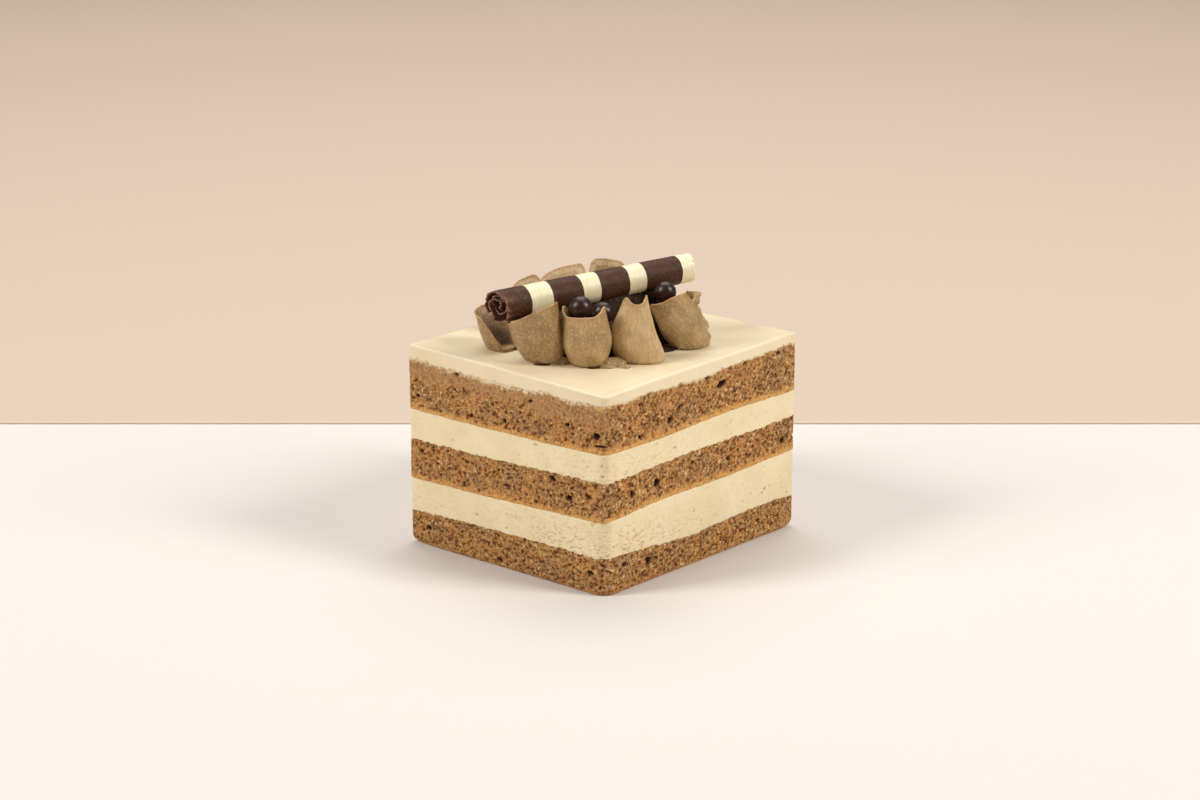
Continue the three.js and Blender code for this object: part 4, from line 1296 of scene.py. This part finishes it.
class PetalLook(bpy.types.PropertyGroup):
    """Colours of the petals."""
    cream: colour_setting("Cream", "#9a7b4d", "Coffee cream")
    cream_light: colour_setting("Light cream", "#d6b583", "Lighter cream, painted on the lit petals and in specks")
    # Groove also paints the shade in the pits.
    groove: colour_setting("Groove", "#86663f", "Grooves, and painted shade in pits")
    inner: colour_setting("Inner", "#4a2c0c", "Painted shade on the floor of the scooped inside")
    # Painted shade for the heaps inside the ring and the patches at the petals' feet.
    painted_shade: colour_setting("Painted shade", "#23140a", "Painted shade inside the ring")
    painted_shade_thin: colour_setting("Lighter painted shade", "#4a3018", "Lighter painted shade inside the ring")
    rim: colour_setting("Rim", "#d8aa72", "Edge of the thin rim")
    rim_shade: colour_setting("Rim shade", "#b08048", "Light that comes through under the rim")


class ChocolateLook(bpy.types.PropertyGroup):
    """Colours of the roll and the pearls."""
    dark: colour_setting("Dark", "#452b1b", "Dark chocolate")
    bloom: colour_setting("Bloom", "#543625", "Dull patches on the dark chocolate")
    torn: colour_setting("Torn", "#a07260", "Flakes at a torn edge, and painted glints")
    ivory: colour_setting("Ivory", "#f7e9c4", "White chocolate")
    ivory_shade: colour_setting("Ivory shade", "#ead9ab", "Lines in the white chocolate")
    pearl: colour_setting("Pearl", "#26110b", "Glazed chocolate")
    pearl_light: colour_setting("Light pearl", "#381b12", "Lighter clouds in the glazed chocolate")


class StageLook(bpy.types.PropertyGroup):
    """Colours and lights of the stage."""
    floor: colour_setting("Floor", "#e2dad2", "Pale table")
    backdrop: colour_setting("Backdrop", "#d0baa6", "Sheet of paper that lies behind the cake")
    ambient: FloatProperty(
        name="Ambient", description="Strength of the light from all round", default=0.15, min=0.0)
    side: power_setting("Side", 12.4, "Power of each large side light")
    top: power_setting("Top", 5.8, "Power of the light above")


# --- Operators ---

class TIRAMISU_OT_sponge(bpy.types.Operator):
    """Makes the three sheets of sponge"""
    bl_idname = "tiramisu.sponge"
    bl_label = "Sponge sheets"

    def execute(self, context):
        look = context.scene.tiramisu_sponge
        for sheet in SPONGE_SHEETS:
            material = sponge_material(look, context.scene.tiramisu_cream, sheet["crust"])
            mesh, values = sponge_sheet(sheet, look)
            piece = add_piece(sheet["node"] + "_crumb", *mesh, [material], values)
            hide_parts(sheet["node"])
        return {"FINISHED"}


class TIRAMISU_OT_cream(bpy.types.Operator):
    """Makes the two bands of cream"""
    bl_idname = "tiramisu.cream"
    bl_label = "Cream bands"

    def execute(self, context):
        look = context.scene.tiramisu_cream
        material = cream_material(look)
        for band in CREAM_BANDS:
            mesh, values = cream_band(band, look)
            piece = add_piece(band["node"] + "_set", *mesh, [material], values)
            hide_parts(band["node"])
        return {"FINISHED"}


class TIRAMISU_OT_icing(bpy.types.Operator):
    """Makes the icing"""
    bl_idname = "tiramisu.icing"
    bl_label = "Icing"

    def execute(self, context):
        look = context.scene.tiramisu_cream
        mesh, values = icing_layer(look)
        material = icing_material(look, context.scene.tiramisu_sponge)
        piece = add_piece("icing_glaze", *mesh, [material], values)
        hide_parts(ICING["node"])
        return {"FINISHED"}


class TIRAMISU_OT_petals(bpy.types.Operator):
    """Makes the ring of petals, the heaps inside it and the smears at its foot"""
    bl_idname = "tiramisu.petals"
    bl_label = "Petals"

    def execute(self, context):
        look = context.scene.tiramisu_petal
        material = petal_material(look)
        for number, petal in enumerate(PETALS, start=1):
            *mesh, values = petal_mesh(petal, number)
            piece = add_piece(f"petal_{number}_scoop", *mesh, [material], values)
            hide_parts(f"petal_{number}")
        # The second material is painted shade, for the heaps and the patches at the petals' feet.
        *mesh, values, shade_faces = spread_meshes()
        materials = [material, painted_shade_material(look)]
        add_piece("cream_spread", *mesh, materials, values, shade_faces)
        return {"FINISHED"}


class TIRAMISU_OT_roll(bpy.types.Operator):
    """Makes the striped chocolate roll"""
    bl_idname = "tiramisu.roll"
    bl_label = "Chocolate roll"

    def execute(self, context):
        look = context.scene.tiramisu_chocolate
        *mesh, values, ivory = roll_mesh()
        materials = [dark_chocolate_material(look), ivory_chocolate_material(look)]
        piece = add_piece("striped_roll", *mesh, materials, values, ivory)
        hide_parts("chocolate_roll")
        return {"FINISHED"}


class TIRAMISU_OT_pearls(bpy.types.Operator):
    """Makes the chocolate pearls"""
    bl_idname = "tiramisu.pearls"
    bl_label = "Pearls"

    def execute(self, context):
        material = glazed_chocolate_material(context.scene.tiramisu_chocolate)
        for number, pearl in enumerate(PEARLS, start=1):
            piece = add_piece(f"pearl_{number}_glazed", *pearl_mesh(pearl, number), [material], {})
            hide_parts(f"pearl_{number}")
        return {"FINISHED"}


def stage_sheet(name, corners, height, colour):
    """A flat matte sheet of the stage, its corners in metres."""
    mesh = bpy.data.meshes.new(name)
    mesh.from_pydata([(x, y, height) for x, y in corners], [], [range(4)])
    material, tree = new_material(name + "_paper")
    finish_material(tree, add(tree, "BsdfPrincipled", {"Base Color": colour, "Roughness": 0.9}))
    mesh.materials.append(material)
    sheet = bpy.data.objects.new(name, mesh)
    bpy.context.scene.collection.objects.link(sheet)


def softbox(name, place, size, power):
    """A rectangular light that looks at the cake."""
    data = bpy.data.lights.new(name, "AREA")
    data.shape = "RECTANGLE"
    data.energy = power
    data.size, data.size_y = size
    light = bpy.data.objects.new(name, data)
    light.location = place
    light.rotation_euler = (Vector(LIGHT_AIM) - light.location).to_track_quat("-Z", "Y").to_euler()
    bpy.context.scene.collection.objects.link(light)


class TIRAMISU_OT_stage(bpy.types.Operator):
    """Makes the table, the lights and the camera"""
    bl_idname = "tiramisu.stage"
    bl_label = "Stage"

    def execute(self, context):
        scene = context.scene
        look = scene.tiramisu_stage
        right = Vector((math.cos(CAMERA_TURN), math.sin(CAMERA_TURN)))
        away = Vector((-math.sin(CAMERA_TURN), math.cos(CAMERA_TURN)))
        for name, front, height, colour in (
                ("table", -TABLE_REACH, 0.0, look.floor),
                ("backdrop", PAPER_FROM, PAPER_LIFT, look.backdrop)):
            corners = ((-TABLE_REACH, front), (TABLE_REACH, front), (TABLE_REACH, TABLE_REACH),
                       (-TABLE_REACH, TABLE_REACH))
            stage_sheet(name, [right * u + away * v for u, v in corners], height, colour)

        world = bpy.data.worlds.new("studio")
        world.use_nodes = True
        sky = world.node_tree.nodes["Background"].inputs
        sky["Color"].default_value = (*AMBIENT_TINT, 1.0)
        sky["Strength"].default_value = look.ambient
        scene.world = world
        for box in SOFTBOXES:
            stand = right * box["aside"] + away * box["behind"]
            power = getattr(look, box["setting"]) * box["share"]
            softbox(box["name"], (*stand, LIGHT_HEIGHT), box["size"], power)
        scene.view_settings.view_transform = "Standard"

        data = bpy.data.cameras.new("camera")
        data.sensor_width = CAMERA_SENSOR
        data.lens = CAMERA_LENS
        camera = bpy.data.objects.new("camera", data)
        camera.location = CAMERA_PLACE
        camera.rotation_euler = Euler((math.pi / 2 - CAMERA_RISE, 0, CAMERA_TURN))
        scene.collection.objects.link(camera)
        scene.camera = camera
        return {"FINISHED"}


class TIRAMISU_PT_sidebar(bpy.types.Panel):
    """Lists the pieces and their settings"""
    bl_idname = "TIRAMISU_PT_sidebar"
    bl_label = "Tiramisu"
    bl_space_type = "VIEW_3D"
    bl_region_type = "UI"
    bl_category = "Tiramisu"

    def draw(self, context):
        for operator in OPERATORS:
            self.layout.operator(operator.bl_idname)
        for name, group in SETTINGS.items():
            box = self.layout.box()
            box.label(text=group.__doc__)
            for field in group.__annotations__:
                box.prop(getattr(context.scene, name), field)


OPERATORS = (
    TIRAMISU_OT_stage,
    TIRAMISU_OT_sponge,
    TIRAMISU_OT_cream,
    TIRAMISU_OT_icing,
    TIRAMISU_OT_petals,
    TIRAMISU_OT_roll,
    TIRAMISU_OT_pearls,
)
SETTINGS = {
    "tiramisu_sponge": SpongeLook,
    "tiramisu_cream": CreamLook,
    "tiramisu_petal": PetalLook,
    "tiramisu_chocolate": ChocolateLook,
    "tiramisu_stage": StageLook,
}


def register():
    """Adds the settings, the operators and the panel to Blender."""
    for group in SETTINGS.values():
        bpy.utils.register_class(group)
    for name, group in SETTINGS.items():
        setattr(bpy.types.Scene, name, PointerProperty(type=group))
    for operator in OPERATORS:
        bpy.utils.register_class(operator)
    bpy.utils.register_class(TIRAMISU_PT_sidebar)


def unregister():
    """Takes them out again."""
    bpy.utils.unregister_class(TIRAMISU_PT_sidebar)
    for operator in reversed(OPERATORS):
        bpy.utils.unregister_class(operator)
    for name in SETTINGS:
        delattr(bpy.types.Scene, name)
    for group in reversed(SETTINGS.values()):
        bpy.utils.unregister_class(group)


def main():
    """Builds everything."""
    register()
    for operator in OPERATORS:
        group, call = operator.bl_idname.split(".")
        getattr(getattr(bpy.ops, group), call)()


if __name__ == "__main__":
    main()
